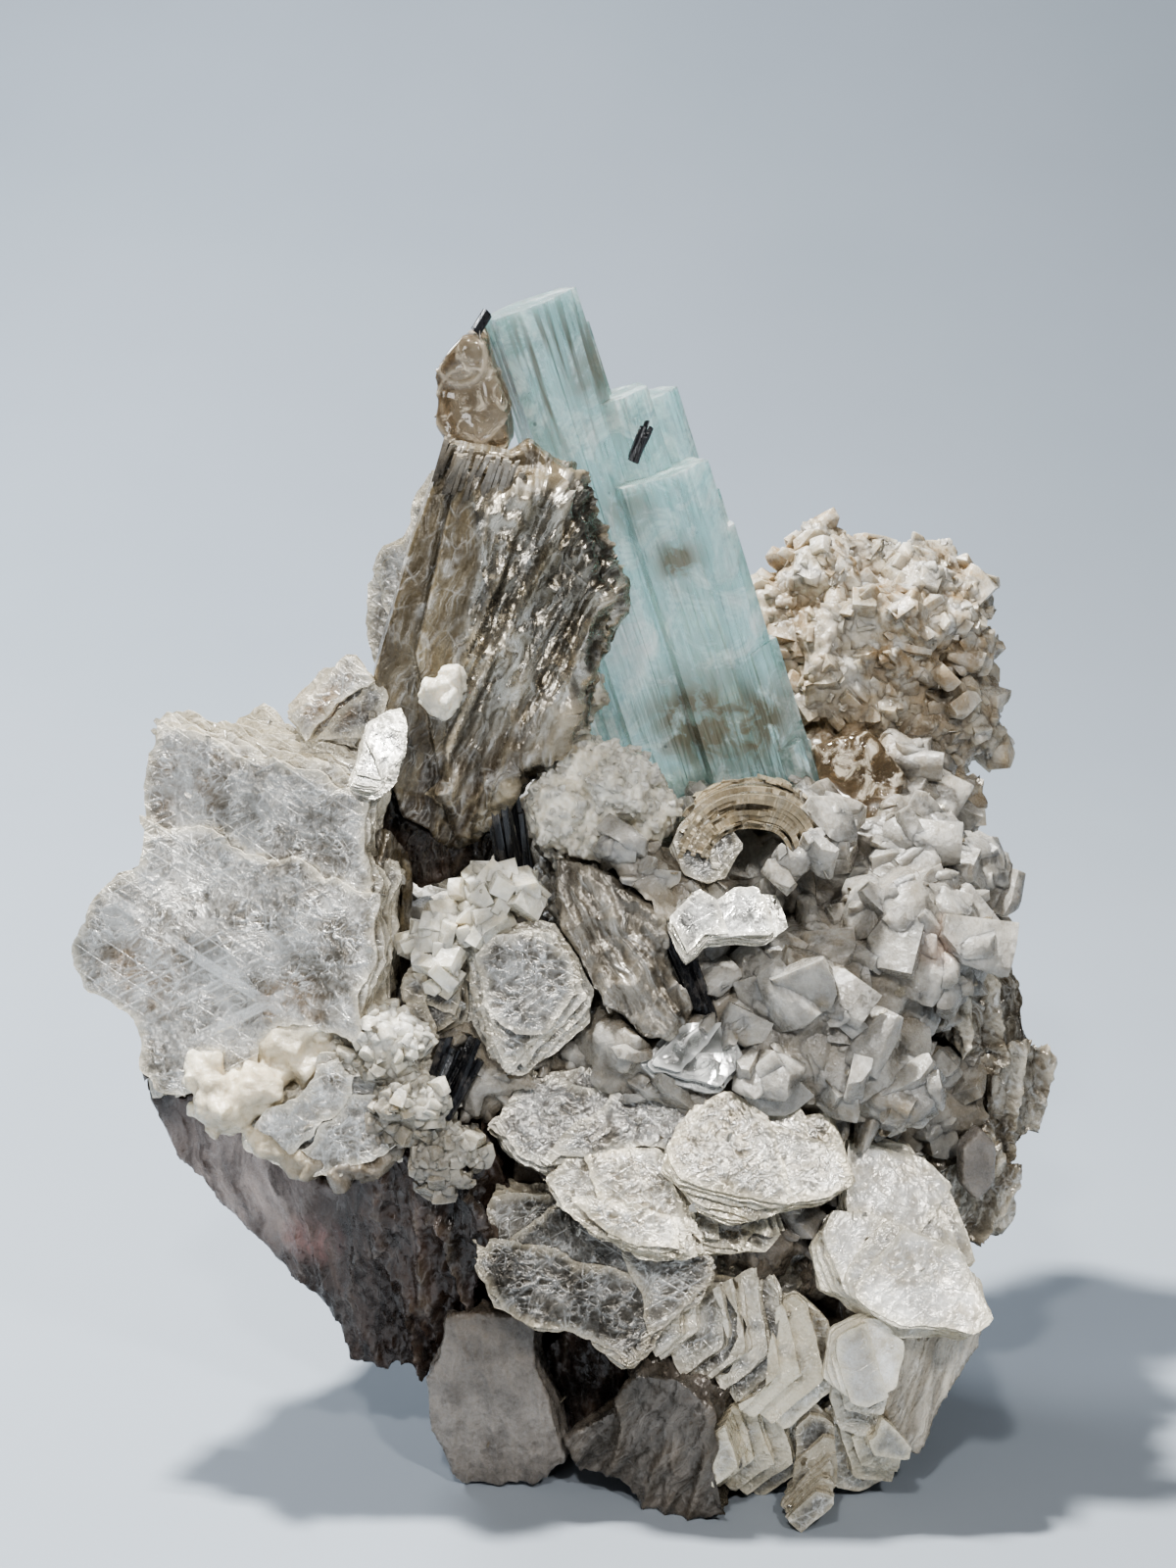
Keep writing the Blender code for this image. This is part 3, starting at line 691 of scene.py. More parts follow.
def bar(foot, top, width, deep):
    """The corners and triangles of one upright bar, `width` across and `deep` front to back."""
    foot, top = np.array(foot, float), np.array(top, float)
    ends = [(-1, -1), (1, -1), (1, 1), (-1, 1)]
    corners = [end + (x * width / 2, y * deep / 2, 0) for end in (foot, top) for x, y in ends]
    faces = [(0, 2, 1), (0, 3, 2), (4, 5, 6), (4, 6, 7)]
    for k in range(4):
        after = (k + 1) % 4
        faces += [(k, after, after + 4), (k, after + 4, k + 4)]
    return np.array(corners), np.array(faces)


def even_skin(node, voxel, factor, iterations):
    """A frame node's solid as a fine, even and softened mesh, whose skin is then worked."""
    piece = mesh_piece(node + "_sheets", *solid_of(node))
    modified(piece, "REMESH", mode="VOXEL", voxel_size=voxel * MM)
    return modified(piece, "SMOOTH", factor=factor, iterations=iterations)


def pushed_out(piece, points, out, move):
    """Moves each corner outwards by its own distance, and gives the new places."""
    points = points + out * move[:, None]
    piece.data.vertices.foreach_set("co", (points * MM).ravel())
    kept_inside(piece)
    return points


def each_corner(share, points):
    """A share for each corner, from one number or from a function of the corners."""
    return share(points) if callable(share) else np.full(len(points), share)


def fibre_book(node, flow, finish, voxel, rough, fold, crumb, fine=0.05, silver=0.0, raised=0.0):
    """A book seen edge on: its solid, worked into fibres, folds and crumbs that run along `flow`.

    `rough` and `silver` are shares, or functions that give one for each corner in millimetres.
    `fold`, `crumb` and `fine` are heights, and `raised` lifts the rough part off the solid.
    """
    seed = seed_of(node)
    piece = even_skin(node, voxel, 0.5, 2)
    points, out = corner_values(piece.data, "co") / MM, corner_values(piece.data, "normal")
    along = np.array(flow, float) / np.linalg.norm(flow)
    across = np.cross(along, (0, 1, 0))
    across /= np.linalg.norm(across)
    own = points @ np.array([across, np.cross(along, across), along]).T
    share = each_corner(rough, points)

    bent = own + np.column_stack([0.5 * swell(*drawn_out(own, WANDER), seed + 9), 0 * own[:, :2]])
    folds = ridges(*drawn_out(bent, FOLDS), seed) ** 1.5
    strands = ridges(*drawn_out(bent, STRANDS), seed + 1)
    crumbs = ridges(*drawn_out(bent, CRUMBS), seed + 2)
    hairs = ridges(*drawn_out(own, HAIRS), seed + 3) ** 2
    creases = ridges(*drawn_out(own, CREASES), seed + 4)
    move = share * (fold * (folds - 0.4) + crumb * (strands - 0.5) + 0.7 * crumb * (crumbs - 0.5))
    move += raised * share + (1 - share) * fine * (hairs + 2 * creases)
    points = pushed_out(piece, points, out, move)

    # Painted light: the tone mark darkens the folds and lightens their crests on the crumbled part, over
    # broad bands along the fibres, and the rim mark paints a pale highlight on the crests of the crumbs.
    bands = swell(*drawn_out(own, BROAD_BANDS), seed + 5)
    bands += 0.5 * swell(*drawn_out(own, FINE_BANDS), seed + 6)
    plain, fold_light_and_shade = np.clip(0.55 + 0.22 * bands, 0, 1), np.clip(1.25 * folds - 0.05, 0, 1)
    mark_sheets(
        piece.data, own[:, (0, 2)],
        rims=share * np.clip(crumbs * folds * 1.6 - 0.4, 0, 1),
        tones_and_shades=plain + 0.75 * share * (fold_light_and_shade - plain),
        silver=each_corner(silver, points),
    )
    return finished(piece, finish, node, angle=60)


def rounded_book(node, finish, lobes):
    """Clear sheets melted together: a smooth knot with a raised line round each lobe's edge."""
    seed = seed_of(node)
    piece = even_skin(node, 0.22, 0.6, 30)
    points, out = corner_values(piece.data, "co") / MM, corner_values(piece.data, "normal")
    lines = np.zeros(len(points))
    for x, z, radius in lobes:
        far = np.hypot(points[:, 0] - x, points[:, 2] - z) + 0.15 * swell(points, 2.0, seed)
        for step, height in ((0, 0.8), (0.55, 0.3), (1.0, 0.12)):
            lines = np.maximum(lines, height * np.exp(-(((far - radius + step) / 0.16) ** 2)))
    move = 0.2 * lines + 0.2 * swell(points, 3.2, seed + 1) + 0.25
    points = pushed_out(piece, points, out, move)
    tones_and_shades = np.clip(0.6 + 0.3 * swell(points, 3, seed + 2), 0, 1)
    mark_sheets(piece.data, points[:, (0, 2)], lines, tones_and_shades, np.zeros(len(points)))
    return finished(piece, finish, node, angle=60)


def mark_height(piece, corners, faces):
    """Marks how far each corner stands out from the plain solid, 0 in the hollows to 1; the albite finish
    paints shade into the hollows by it.
    """
    tree = search_tree(corners, faces)
    heights = []
    for vertex in piece.data.vertices:
        nearest, normal, _, distance = tree.find_nearest(vertex.co / MM)
        above = (vertex.co / MM - nearest).dot(normal) > 0
        heights.append(distance / CREST_HEIGHT if above else 0.0)
    mark_corners(piece.data, "height", np.clip(heights, 0, 1))


# ---------------------------------------------------------------- albite crusts

# A layer of grains: how many places are tried, the grains' half widths, their stretch, the way
# that their long side points, which way they are turned up, how much they are tilted at random,
# how deep they sit, how far apart they are kept, and how many planes cut each one.
LAYER = {
    "count": 500, "sizes": (0.4, 1.2), "stretch": (1.2, 1.0, 0.8), "along": (0.9, 0, -0.4),
    "lift": (0, 0, 0), "wobble": 0.5, "sunk": 0.2, "apart": 0, "cuts": 9,
}


def along_path(path, rng):
    """Places strewn along a line of points, facing the front."""
    places = []
    for a, b in zip(np.array(path[:-1], float), np.array(path[1:], float)):
        for share in np.arange(0, 1, TRAIL_STEP / np.linalg.norm(b - a)):
            spot = a + (b - a) * share + rng.normal(size=3) * TRAIL_SCATTER
            places.append((spot, np.array((0, -0.9, 0.4)), MOST_ROOM))
    return places


def grown(skin, layers, tree, seed, rng):
    """A skin with its layers of grains, each of which is strewn over the skin itself."""
    shapes = [skin]
    for changes in layers:
        layer = {**LAYER, **changes}
        places = open_places(*skin, tree, layer["count"], rng)
        blocks = [block_shape(seed + k, layer["cuts"]) for k in range(BLOCK_KINDS)]
        shapes.append(grains_on(places, blocks, layer, rng))
    return stacked(shapes)


def albite(node, finish, voxel, layers, crumble=0.1, most=45000, trails=(), soft=2, crisp=()):
    """A crust of intergrown albite grains in place of a frame node.

    The layers are melted together by the remesh, and the crisp ones are set on top of it. A trail
    is a line of points that grains follow, and their sizes. `most` is its triangles before those.
    """
    seed = seed_of(node)
    rng = np.random.default_rng(seed)
    solid = solid_of(node)
    tree = others_tree(node)
    shapes = [grown(solid, layers, tree, seed, rng)]
    for path, sizes in trails:
        layer = {**LAYER, "sizes": sizes, "wobble": 1.2, "sunk": 0}
        blocks = [block_shape(seed + k, layer["cuts"]) for k in range(BLOCK_KINDS)]
        shapes.append(grains_on(along_path(path, rng), blocks, layer, rng))
    piece = mesh_piece(node + "_grains", *stacked(shapes))
    modified(piece, "REMESH", mode="VOXEL", voxel_size=voxel * MM)
    modified(piece, "SMOOTH", factor=0.5, iterations=soft)
    modified(piece, "DISPLACE", texture=crumble_texture(), strength=crumble * MM, mid_level=0.5)
    if len(piece.data.polygons) * 2 > most:
        modified(piece, "DECIMATE", ratio=most / (len(piece.data.polygons) * 2))
    if crisp:
        skin = shape_of(piece)
        bpy.data.objects.remove(piece)
        piece = mesh_piece(node + "_grains", *grown(skin, crisp, tree, seed, rng))
    kept_inside(piece)
    mark_height(piece, *solid)
    return finished(piece, finish, node, angle=62)


# ---------------------------------------------------------------- aquamarine and schorl


def grooved_prism(foot, top, radius, turn, seed, cuts=10, groove=0.16, slant=0.0):
    """A six-sided prism with growth grooves down its sides and a slightly slanted end."""
    rng = np.random.default_rng(seed)
    foot, top = Vector(foot), Vector(top)
    length = (top - foot).length
    bpy.ops.object.select_all(action="DESELECT")
    bpy.ops.mesh.primitive_cylinder_add(vertices=6 * cuts, radius=1, depth=1, end_fill_type="NGON")
    prism = bpy.context.object
    prism.data.materials.clear()
    depths = rng.uniform(0, groove, 6 * cuts) * (rng.uniform(0, 1, 6 * cuts) < 0.7)
    shares = np.sort(rng.uniform(0.04, 0.96, (6, cuts - 1)), axis=1)
    corners = [np.array((math.cos(a), math.sin(a))) for a in np.radians(np.arange(0, 360, 60) + turn)]
    lean = rng.uniform(-1, 1, 2) * slant
    for k, vertex in enumerate(prism.data.vertices):
        ring = k // 2
        side, cut = divmod(ring, cuts)
        share = 0.0 if cut == 0 else shares[side][cut - 1]
        spot = corners[side] * (1 - share) + corners[(side + 1) % 6] * share
        spot = spot * (radius - (depths[ring] if cut else 0))
        upper = vertex.co.z > 0
        rise = (length + float(spot @ lean)) if upper else 0.0
        vertex.co = Vector((spot[0], spot[1], rise))
    turned = (top - foot).to_track_quat("Z", "Y")
    for vertex in prism.data.vertices:
        vertex.co = (turned @ vertex.co + foot) * MM
    bpy.ops.object.mode_set(mode="EDIT")
    bpy.ops.mesh.select_all(action="SELECT")
    bpy.ops.mesh.normals_make_consistent(inside=False)
    bpy.ops.object.mode_set(mode="OBJECT")
    return prism


def united(prisms):
    """One closed solid from overlapping prisms."""
    whole = prisms[0]
    for other in prisms[1:]:
        modified(whole, "BOOLEAN", operation="UNION", solver="EXACT", object=other)
        bpy.data.objects.remove(other)
    return whole


def crystal_from(top, radius, turn, seed, **changes):
    """A crystal of the cluster, on the shared foot and axis."""
    drop = (top[2] - CRYSTAL_FOOT) / CRYSTAL_AXIS.z
    foot = Vector(top) - CRYSTAL_AXIS * drop
    return grooved_prism(foot, top, radius, turn, seed, **changes)


def crystal_steps():
    """Thin crystals grown against the flanks of the main ones, which end in steps."""
    rng = random.Random(11)
    steps = []
    for top, radius, turn in CRYSTALS:
        for _ in range(STEPS_ON_CRYSTAL):
            way = math.radians(rng.choice([-80, -40, 0, 30, 60, 200, 250]) + rng.uniform(-15, 15))
            side = Vector((math.cos(way), math.sin(way), 0))
            drop = rng.uniform(1.2, 9)
            spot = Vector(top) + side * (radius * 0.86) - CRYSTAL_AXIS * drop
            steps.append((tuple(spot), rng.uniform(0.5, 1.3), turn))
    return steps


def aquamarine():
    """The joined cluster of pale blue-green prisms."""
    prisms = []
    for k, (top, radius, turn) in enumerate(CRYSTALS):
        prisms.append(crystal_from(top, radius, turn, k, slant=0.05))
    for k, (top, radius, turn) in enumerate(crystal_steps()):
        prisms.append(crystal_from(top, radius, turn, 50 + k, cuts=4, groove=0.08, slant=0.1))
    cluster = united(prisms)
    cluster.name = "aquamarine_crystal_cluster"
    return finished(cluster, "aquamarine", "aquamarine_crystals", angle=22)


def needle_bundle(node, foot, top, radius, count, scatter):
    """Black needles lying nearly side by side, grooved along their length."""
    rng = random.Random(seed_of(node))
    foot, top = Vector(foot), Vector(top)
    needles = []
    for k in range(count):
        shift = Vector([rng.uniform(-scatter, scatter) * min(k, 1) for _ in range(3)])
        lean = Vector([rng.uniform(-scatter, scatter) * min(k, 1) * 0.5 for _ in range(3)])
        low = foot + shift + (top - foot) * rng.uniform(-0.08, 0.1)
        high = top + shift + lean
        thick = radius * rng.uniform(0.4, 1.0)
        turn = 60 * rng.random()
        needles.append(grooved_prism(low, high, thick, turn, k, cuts=3, groove=thick * 0.22, slant=0.4))
    whole = needles[0]
    pick(whole)
    for needle in needles:
        needle.select_set(True)
    bpy.ops.object.join()
    whole.name = node + "_needles"
    return finished(whole, "schorl", node, angle=25)


# ---------------------------------------------------------------- loose scales


def scale_shape():
    """A small six-sided mica scale, about 2 across and very thin."""
    bpy.ops.object.select_all(action="DESELECT")
    bpy.ops.mesh.primitive_cylinder_add(vertices=6, radius=1, depth=0.16)
    scale = bpy.context.object
    bpy.ops.object.mode_set(mode="EDIT")
    return taken_shape(scale)


def nook_places(pieces, count, rng):
    """Places on the finished pieces that lie in a nook between neighbours."""
    corners, faces = stacked([shape_of(piece) for piece in pieces])
    tree = search_tree(corners, faces)
    found = []
    for spot, way, _ in open_places(corners, faces, tree, count, rng, clear=0.8):
        hits = 0
        for _ in range(6):
            look = way + rng.normal(size=3) * 0.9
            look /= np.linalg.norm(look)
            hits += tree.ray_cast(Vector(spot + way * 0.1), Vector(look), NOOK_REACH)[0] is not None
        if 2 <= hits <= 5:
            found.append((spot, way))
    return found


def loose_scales(name, pieces, count, sizes, finish, seed):
    """Scales of mica caught in the nooks of the finished pieces, joined in one."""
    rng = np.random.default_rng(seed)
    base, triangles = scale_shape()
    scales, flats, tones_and_shades = [], [], []
    for spot, way in nook_places(pieces, count, rng):
        size = sizes[0] + (sizes[1] - sizes[0]) * rng.uniform(0, 1) ** 2
        axes = turned_axes(way, rng.normal(size=3), rng, 0.9)
        stretch = np.array([size, size * rng.uniform(0.5, 1), size * rng.uniform(0.5, 1.1)])
        scales.append(((base * stretch) @ axes + spot + way * size * 0.1, triangles))
        flats.append(base[:, :2] * size + rng.uniform(0, 50, 2))
        tones_and_shades.append(np.full(len(base), rng.uniform(0, 1)))
    corners, faces = stacked(scales)
    rims = np.full(len(corners), 0.3)
    piece = mesh_piece(name, corners, faces, np.concatenate(flats), rims, np.concatenate(tones_and_shades))
    kept_inside(piece)
    return finished(piece, finish, angle=20)


# ---------------------------------------------------------------- finishes

# A spot of colour reaches further from front to back: this is its depth's scale. The same share of its
# radius is its even core.
SPOT_DEPTH = 0.35
SPOT_CORE = 0.35

RUST = (0.50, 0.21, 0.07)
# Dark brown: painted shade in the albite's cavity, and the darker lower front of the albite.
DARK_BROWN = (0.11, 0.085, 0.06)
CREAM_STONE = (0.78, 0.68, 0.50)
BROWN_STONE = (0.30, 0.215, 0.125)
TAN = (0.33, 0.235, 0.15)
FOOT_BROWN = (0.065, 0.048, 0.032)
CRYSTAL_STAIN = (0.22, 0.195, 0.14)

# Spots of colour: centre, radius, share and colour. Most are stains.
# On the albite, the dark spot at (-16, 0, 53) is painted shade in the cavity there, and the dark spots low
# on the front make the albite darker towards the bottom.
ALBITE_SPOTS = [
    ((28, -2, 46), 3.4, 0.8, RUST), ((-16, 0, 53), 7, 0.9, DARK_BROWN),
    ((-6, -8, 22), 15, 0.85, DARK_BROWN), ((8, -8, 10), 12, 0.85, DARK_BROWN),
    ((-20, -4, 30), 13, 0.85, DARK_BROWN), ((20, -8, 12), 10, 0.8, DARK_BROWN),
    ((14, -9, 20), 8, 0.85, DARK_BROWN), ((-26.5, -12, 35.5), 9, 0.7, CREAM_STONE),
    ((17, 14, 67), 6, 0.6, BROWN_STONE), ((22, 14, 58), 6, 0.55, BROWN_STONE),
    ((31, 14, 62), 4, 0.4, BROWN_STONE),
]
LEFT_PLATE_SPOTS = [
    ((-23.6, -9, 41.7), 3.4, 0.8, TAN), ((-35.5, -9, 43.5), 4.2, 0.7, TAN),
    ((-32.5, -8, 59.0), 4.5, 0.6, TAN), ((-20.5, -4, 65.0), 3.6, 0.8, TAN),
]
TALL_BOOK_SPOTS = [((-12, -4, 56), 11, 0.9, FOOT_BROWN), ((-6, -4, 60), 7, 0.6, FOOT_BROWN)]
BASE_SPOTS = [
    ((-28.5, -9, 26.0), 9.0, 1.0, (0.48, 0.385, 0.34)), ((-22.6, -10, 20.6), 3.0, 0.7, (0.40, 0.19, 0.165)),
    ((-8.0, -10, 17.0), 3.0, 0.7, (0.09, 0.04, 0.035)),
]
# Stains and inclusions of the crystals: centre, radius and share.
CRYSTAL_SPOTS = [
    ((7.2, 0, 75.2), 3.0, 1.0), ((9.0, 1.5, 61.5), 6.5, 1.0), ((14.0, 1.5, 61.5), 5.0, 1.0),
    ((3.2, 1.5, 79.3), 3.2, 0.7), ((0.2, 1.5, 90.0), 3.2, 0.7), ((0.5, 1.0, 62.0), 3.6, 0.5),
]

# Which material each finish belongs to.
SLOTS = {
    **dict.fromkeys(("silver_mica", "bright_mica", "clear_mica", "grey_mica", "pearl_mica"), "mica_silver"),
    **dict.fromkeys(("ragged_mica", "side_mica", "cream_mica"), "mica_cream"),
    **dict.fromkeys(("column_mica", "brown_mica", "amber_mica", "dark_mica"), "mica_brown"),
    **dict.fromkeys(("albite", "stained_albite", "dull_albite", "waxy_albite"), "albite"),
    "aquamarine": "aquamarine", "schorl": "schorl",
}
FINISHES = {}


def new_finish(name):
    finish = bpy.data.materials.new(name)
    finish.use_nodes = True
    FINISHES[name] = finish
    return finish


def feed(finish, node, inputs):
    """Links or sets the inputs of a shader node."""
    for key, value in inputs.items():
        if isinstance(value, bpy.types.NodeSocket):
            finish.node_tree.links.new(value, node.inputs[key])
        else:
            node.inputs[key].default_value = value


def feed_shader(finish, inputs):
    feed(finish, finish.node_tree.nodes["Principled BSDF"], inputs)


def add(finish, kind, inputs, **settings):
    """Adds a shader node, sets it up, and feeds its inputs."""
    made = finish.node_tree.nodes.new("ShaderNode" + kind)
    for key, value in settings.items():
        setattr(made, key, value)
    feed(finish, made, inputs)
    return made


def places_of(finish):
    return add(finish, "TexCoord", {}).outputs["Object"]


def mark_of(finish, mark):
    return add(finish, "Attribute", {}, attribute_name=mark).outputs["Fac"]


def maths(finish, operation, a, b=0.0):
    return add(finish, "Math", {0: a, 1: b}, operation=operation).outputs["Value"]


def times(finish, a, b):
    return maths(finish, "MULTIPLY", a, b)


def plus(finish, a, b):
    return maths(finish, "ADD", a, b)


def larger(finish, a, b):
    return maths(finish, "MAXIMUM", a, b)


def vectors(finish, operation, a, b):
    return add(finish, "VectorMath", {0: a, 1: b}, operation=operation).outputs[0]


def scaled(finish, vector, share):
    return add(finish, "VectorMath", {0: vector, "Scale": share}, operation="SCALE").outputs[0]


def mapped(finish, vector, inputs):
    """A place turned and stretched by a Mapping node."""
    return add(finish, "Mapping", {"Vector": vector, **inputs}).outputs[0]


def noise_of(finish, where, size, detail=5.0, rough=0.55, bend=0.0):
    """Noise with bumps about `size` millimetres across."""
    inputs = {"Scale": 1 / (size * MM), "Detail": detail, "Roughness": rough, "Distortion": bend}
    return add(finish, "TexNoise", {"Vector": where, **inputs}).outputs["Fac"]


def spread(finish, value, low, high, to_low=0.0, to_high=1.0):
    """Stretches a value's range from low..high to the new one."""
    inputs = {"From Min": low, "From Max": high, "To Min": to_low, "To Max": to_high}
    return add(finish, "MapRange", {"Value": value, **inputs}).outputs["Result"]


def mixed(finish, share, first, second, blend="MIX"):
    """Two colours mixed by a share."""
    pair = {6: first, 7: second}
    pair = {key: (*value, 1.0) if isinstance(value, tuple) else value for key, value in pair.items()}
    return add(finish, "Mix", {0: share, **pair}, data_type="RGBA", blend_type=blend).outputs[2]


def shaded(finish, colour, tone):
    """A colour made darker or lighter by a number."""
    grey = add(finish, "CombineColor", {0: tone, 1: tone, 2: tone}).outputs[0]
    return mixed(finish, 1.0, colour, grey, "MULTIPLY")


def near(finish, where, centre, radius):
    """A soft spot, long from front to back: 1 at the centre, in millimetres, and 0 past the radius."""
    squeezed = vectors(finish, "MULTIPLY", where, (1.0, SPOT_DEPTH, 1.0))
    spot = (centre[0] * MM, centre[1] * SPOT_DEPTH * MM, centre[2] * MM)
    away = add(finish, "VectorMath", {0: squeezed, 1: spot}, operation="DISTANCE").outputs["Value"]
    return spread(finish, away, radius * SPOT_CORE * MM, radius * MM, 1.0, 0.0)


def spotted(finish, colour, where, spots, broken=None):
    """A colour with spots of other colours, stains and painted shade among them, which a pattern may break
    up.
    """
    for centre, radius, share, tint in spots:
        spot = times(finish, near(finish, where, centre, radius), share)
        if broken is not None:
            spot = times(finish, spot, broken)
        colour = mixed(finish, spot, colour, tint)
    return colour


def thin_lines(finish, noise, width, strength=1.0):
    """Thin lines where a noise crosses its middle."""
    off = maths(finish, "ABSOLUTE", maths(finish, "SUBTRACT", noise, 0.5))
    return spread(finish, off, 0.0, width, strength, 0.0)


def fracture(finish, where, scale, width):
    """Thin lines between straight-sided patches, 1 on the lines."""
    edges = add(finish, "TexVoronoi", {"Vector": where, "Scale": scale}, feature="DISTANCE_TO_EDGE")
    return spread(finish, edges.outputs["Distance"], 0.0, width, 1.0, 0.0)


def bump_of(finish, height, strength, depth):
    """The surface raised by a height, `depth` in millimetres."""
    inputs = {"Height": height, "Strength": strength, "Distance": depth * MM}
    return add(finish, "Bump", inputs).outputs["Normal"]


def glitter(finish, where, size, strength, normal):
    """Tilts the surface in small random patches, so that single grains flash.

    `size` is in millimetres on a piece's own places, and in hundredths of one on the flat map.
    """
    cells = add(finish, "TexVoronoi", {"Vector": where, "Scale": 1 / (size * MM)})
    tilt = vectors(finish, "SUBTRACT", cells.outputs["Color"], (0.5, 0.5, 0.5))
    total = vectors(finish, "ADD", scaled(finish, tilt, strength), normal)
    return add(finish, "VectorMath", {0: total}, operation="NORMALIZE").outputs[0]


def flow_lines(finish, flow, fibrous):
    """Fine lines drawn out over a sheet, or down the fibres of a book seen edge on."""
    turn, pulled = (0.0, (42.0, 2.0, 1.0)) if fibrous else (0.9, (3.0, 42.0, 1.0))
    along = mapped(finish, flow, {"Rotation": (0, 0, turn), "Scale": pulled})
    lines = add(finish, "TexNoise", {"Vector": along, "Scale": 1.0, "Detail": 6.0})
    return spread(finish, lines.outputs["Fac"], 0.52, 0.70)


def crest_web(finish, along):
    """A web of sharp crests, as on a wrinkled sheet."""
    inputs = {"Scale": 8.0, "Detail": 3.5, "Roughness": 0.6, "Lacunarity": 2.1, "Offset": 0.8, "Gain": 2.0}
    web = add(finish, "TexNoise", {"Vector": along, **inputs}, noise_type="RIDGED_MULTIFRACTAL")
    return spread(finish, web.outputs["Fac"], 0.25, 1.1)


def with_ruled_lines(finish, marks, where, flat):
    """The marks with straight glide lines, which run two ways over a sheet in places."""
    for slope in (-0.5, 0.55):
        across = {0: flat, 1: (math.sin(slope), math.cos(slope), 0.0)}
        across = add(finish, "VectorMath", across, operation="DOT_PRODUCT").outputs["Value"]
        ruled = add(finish, "TexNoise", {"W": across, "Scale": 3.0, "Detail": 1.0}, noise_dimensions="1D")
        ruled = thin_lines(finish, ruled.outputs["Fac"], 0.014, 0.7)
        ruled = times(finish, ruled, spread(finish, noise_of(finish, where, 7.0), 0.46, 0.54))
        marks = larger(finish, marks, ruled)
    return marks


def mica_finish(
    name, pale, dark, rim_colour_and_highlight, metal, sparkle=0.3, streak=0.6, drawn=1.0, relief=1.0, spots=()
):
    """Split mica: wrinkled pearly faces with flow lines, glittering grains, and paler edges that are a
    painted rim highlight over the edges' own paler colour.

    `drawn` below 1 pulls the pattern out along the sheets, for books that show their edges.
    """
    finish = new_finish(name)
    where = places_of(finish)
    flat = add(finish, "UVMap", {}, uv_map="flat").outputs["UV"]
    rim, ply, silver = (mark_of(finish, mark) for mark in ("rim", "ply", "silver"))
    fibrous = drawn < 1
    bent = add(finish, "TexNoise", {"Vector": flat, "Scale": 2.2, "Detail": 3.0})
    flow = vectors(finish, "ADD", flat, scaled(finish, bent.outputs["Color"], 0.3))
    along = mapped(finish, flow, {"Scale": (1.0, drawn, 1.0)})

    web = crest_web(finish, along)
    cracks = larger(finish, fracture(finish, flat, 2.6, 0.03), fracture(finish, along, 9.0, 0.06))
    crests = larger(finish, maths(finish, "POWER", web, 3.5), times(finish, cracks, 0.75))
    marks = larger(finish, times(finish, flow_lines(finish, flow, fibrous), 0.7), crests)
    marks = times(finish, marks, spread(finish, noise_of(finish, where, 1.8, 3.0), 0.36, 0.62))
    if fibrous:
        patches = noise_of(finish, scaled(finish, along, FLAT_UNIT * MM), 2.0, 8.0, 0.68)
    else:
        patches = noise_of(finish, where, 3.4, 8.0, 0.68)
        marks = with_ruled_lines(finish, marks, where, flat)

    cloudy = spread(finish, patches, 0.40, 0.62)
    colour = mixed(finish, cloudy, dark, pale)
    colour = spotted(finish, colour, where, spots, spread(finish, patches, 0.62, 0.42))
    bright = mixed(finish, cloudy, (0.20, 0.17, 0.12), (0.66, 0.62, 0.54))
    colour = mixed(finish, silver, colour, bright)
    colour = mixed(finish, times(finish, marks, streak), colour, (0.88, 0.87, 0.84))
    # The tone mark sets each sheet's own tone; on books seen edge on it also holds painted shade in the
    # folds and painted light on their crests.
    colour = shaded(finish, colour, spread(finish, ply, 0.0, 1.0, 0.5, 1.2))
    # The rim colour along the sheets' edges, and on the crests of books seen edge on, is a painted
    # highlight, partly the edges' own paler colour.
    colour = mixed(finish, times(finish, rim, 0.6), colour, rim_colour_and_highlight)

    shine = spread(finish, patches, 0.35, 0.65, metal * 1.3, metal * 0.6)
    shine = larger(finish, shine, times(finish, silver, 0.85))
    shine = times(finish, shine, spread(finish, rim, 0.0, 1.0, 1.0, 0.5))
    fine = noise_of(finish, where, 0.35, 4.0, 0.7)
    height = plus(finish, times(finish, marks, 0.6), times(finish, fine, 0.3))
    height = plus(finish, height, times(finish, web, 0.8))
    normal = bump_of(finish, height, 0.7, 0.10 * relief)
    normal = glitter(finish, flat, 385, 0.22 * relief, normal)
    normal = glitter(finish, along, 111, spread(finish, silver, 0.0, 1.0, 0.14 * relief, 0.5), normal)
    feed_shader(finish, {
        "Base Color": colour, "Metallic": shine, "Roughness": spread(finish, fine, 0.3, 0.7, 0.16, 0.40),
        "Normal": glitter(finish, where, 0.4, sparkle, normal), "IOR": 1.59,
    })


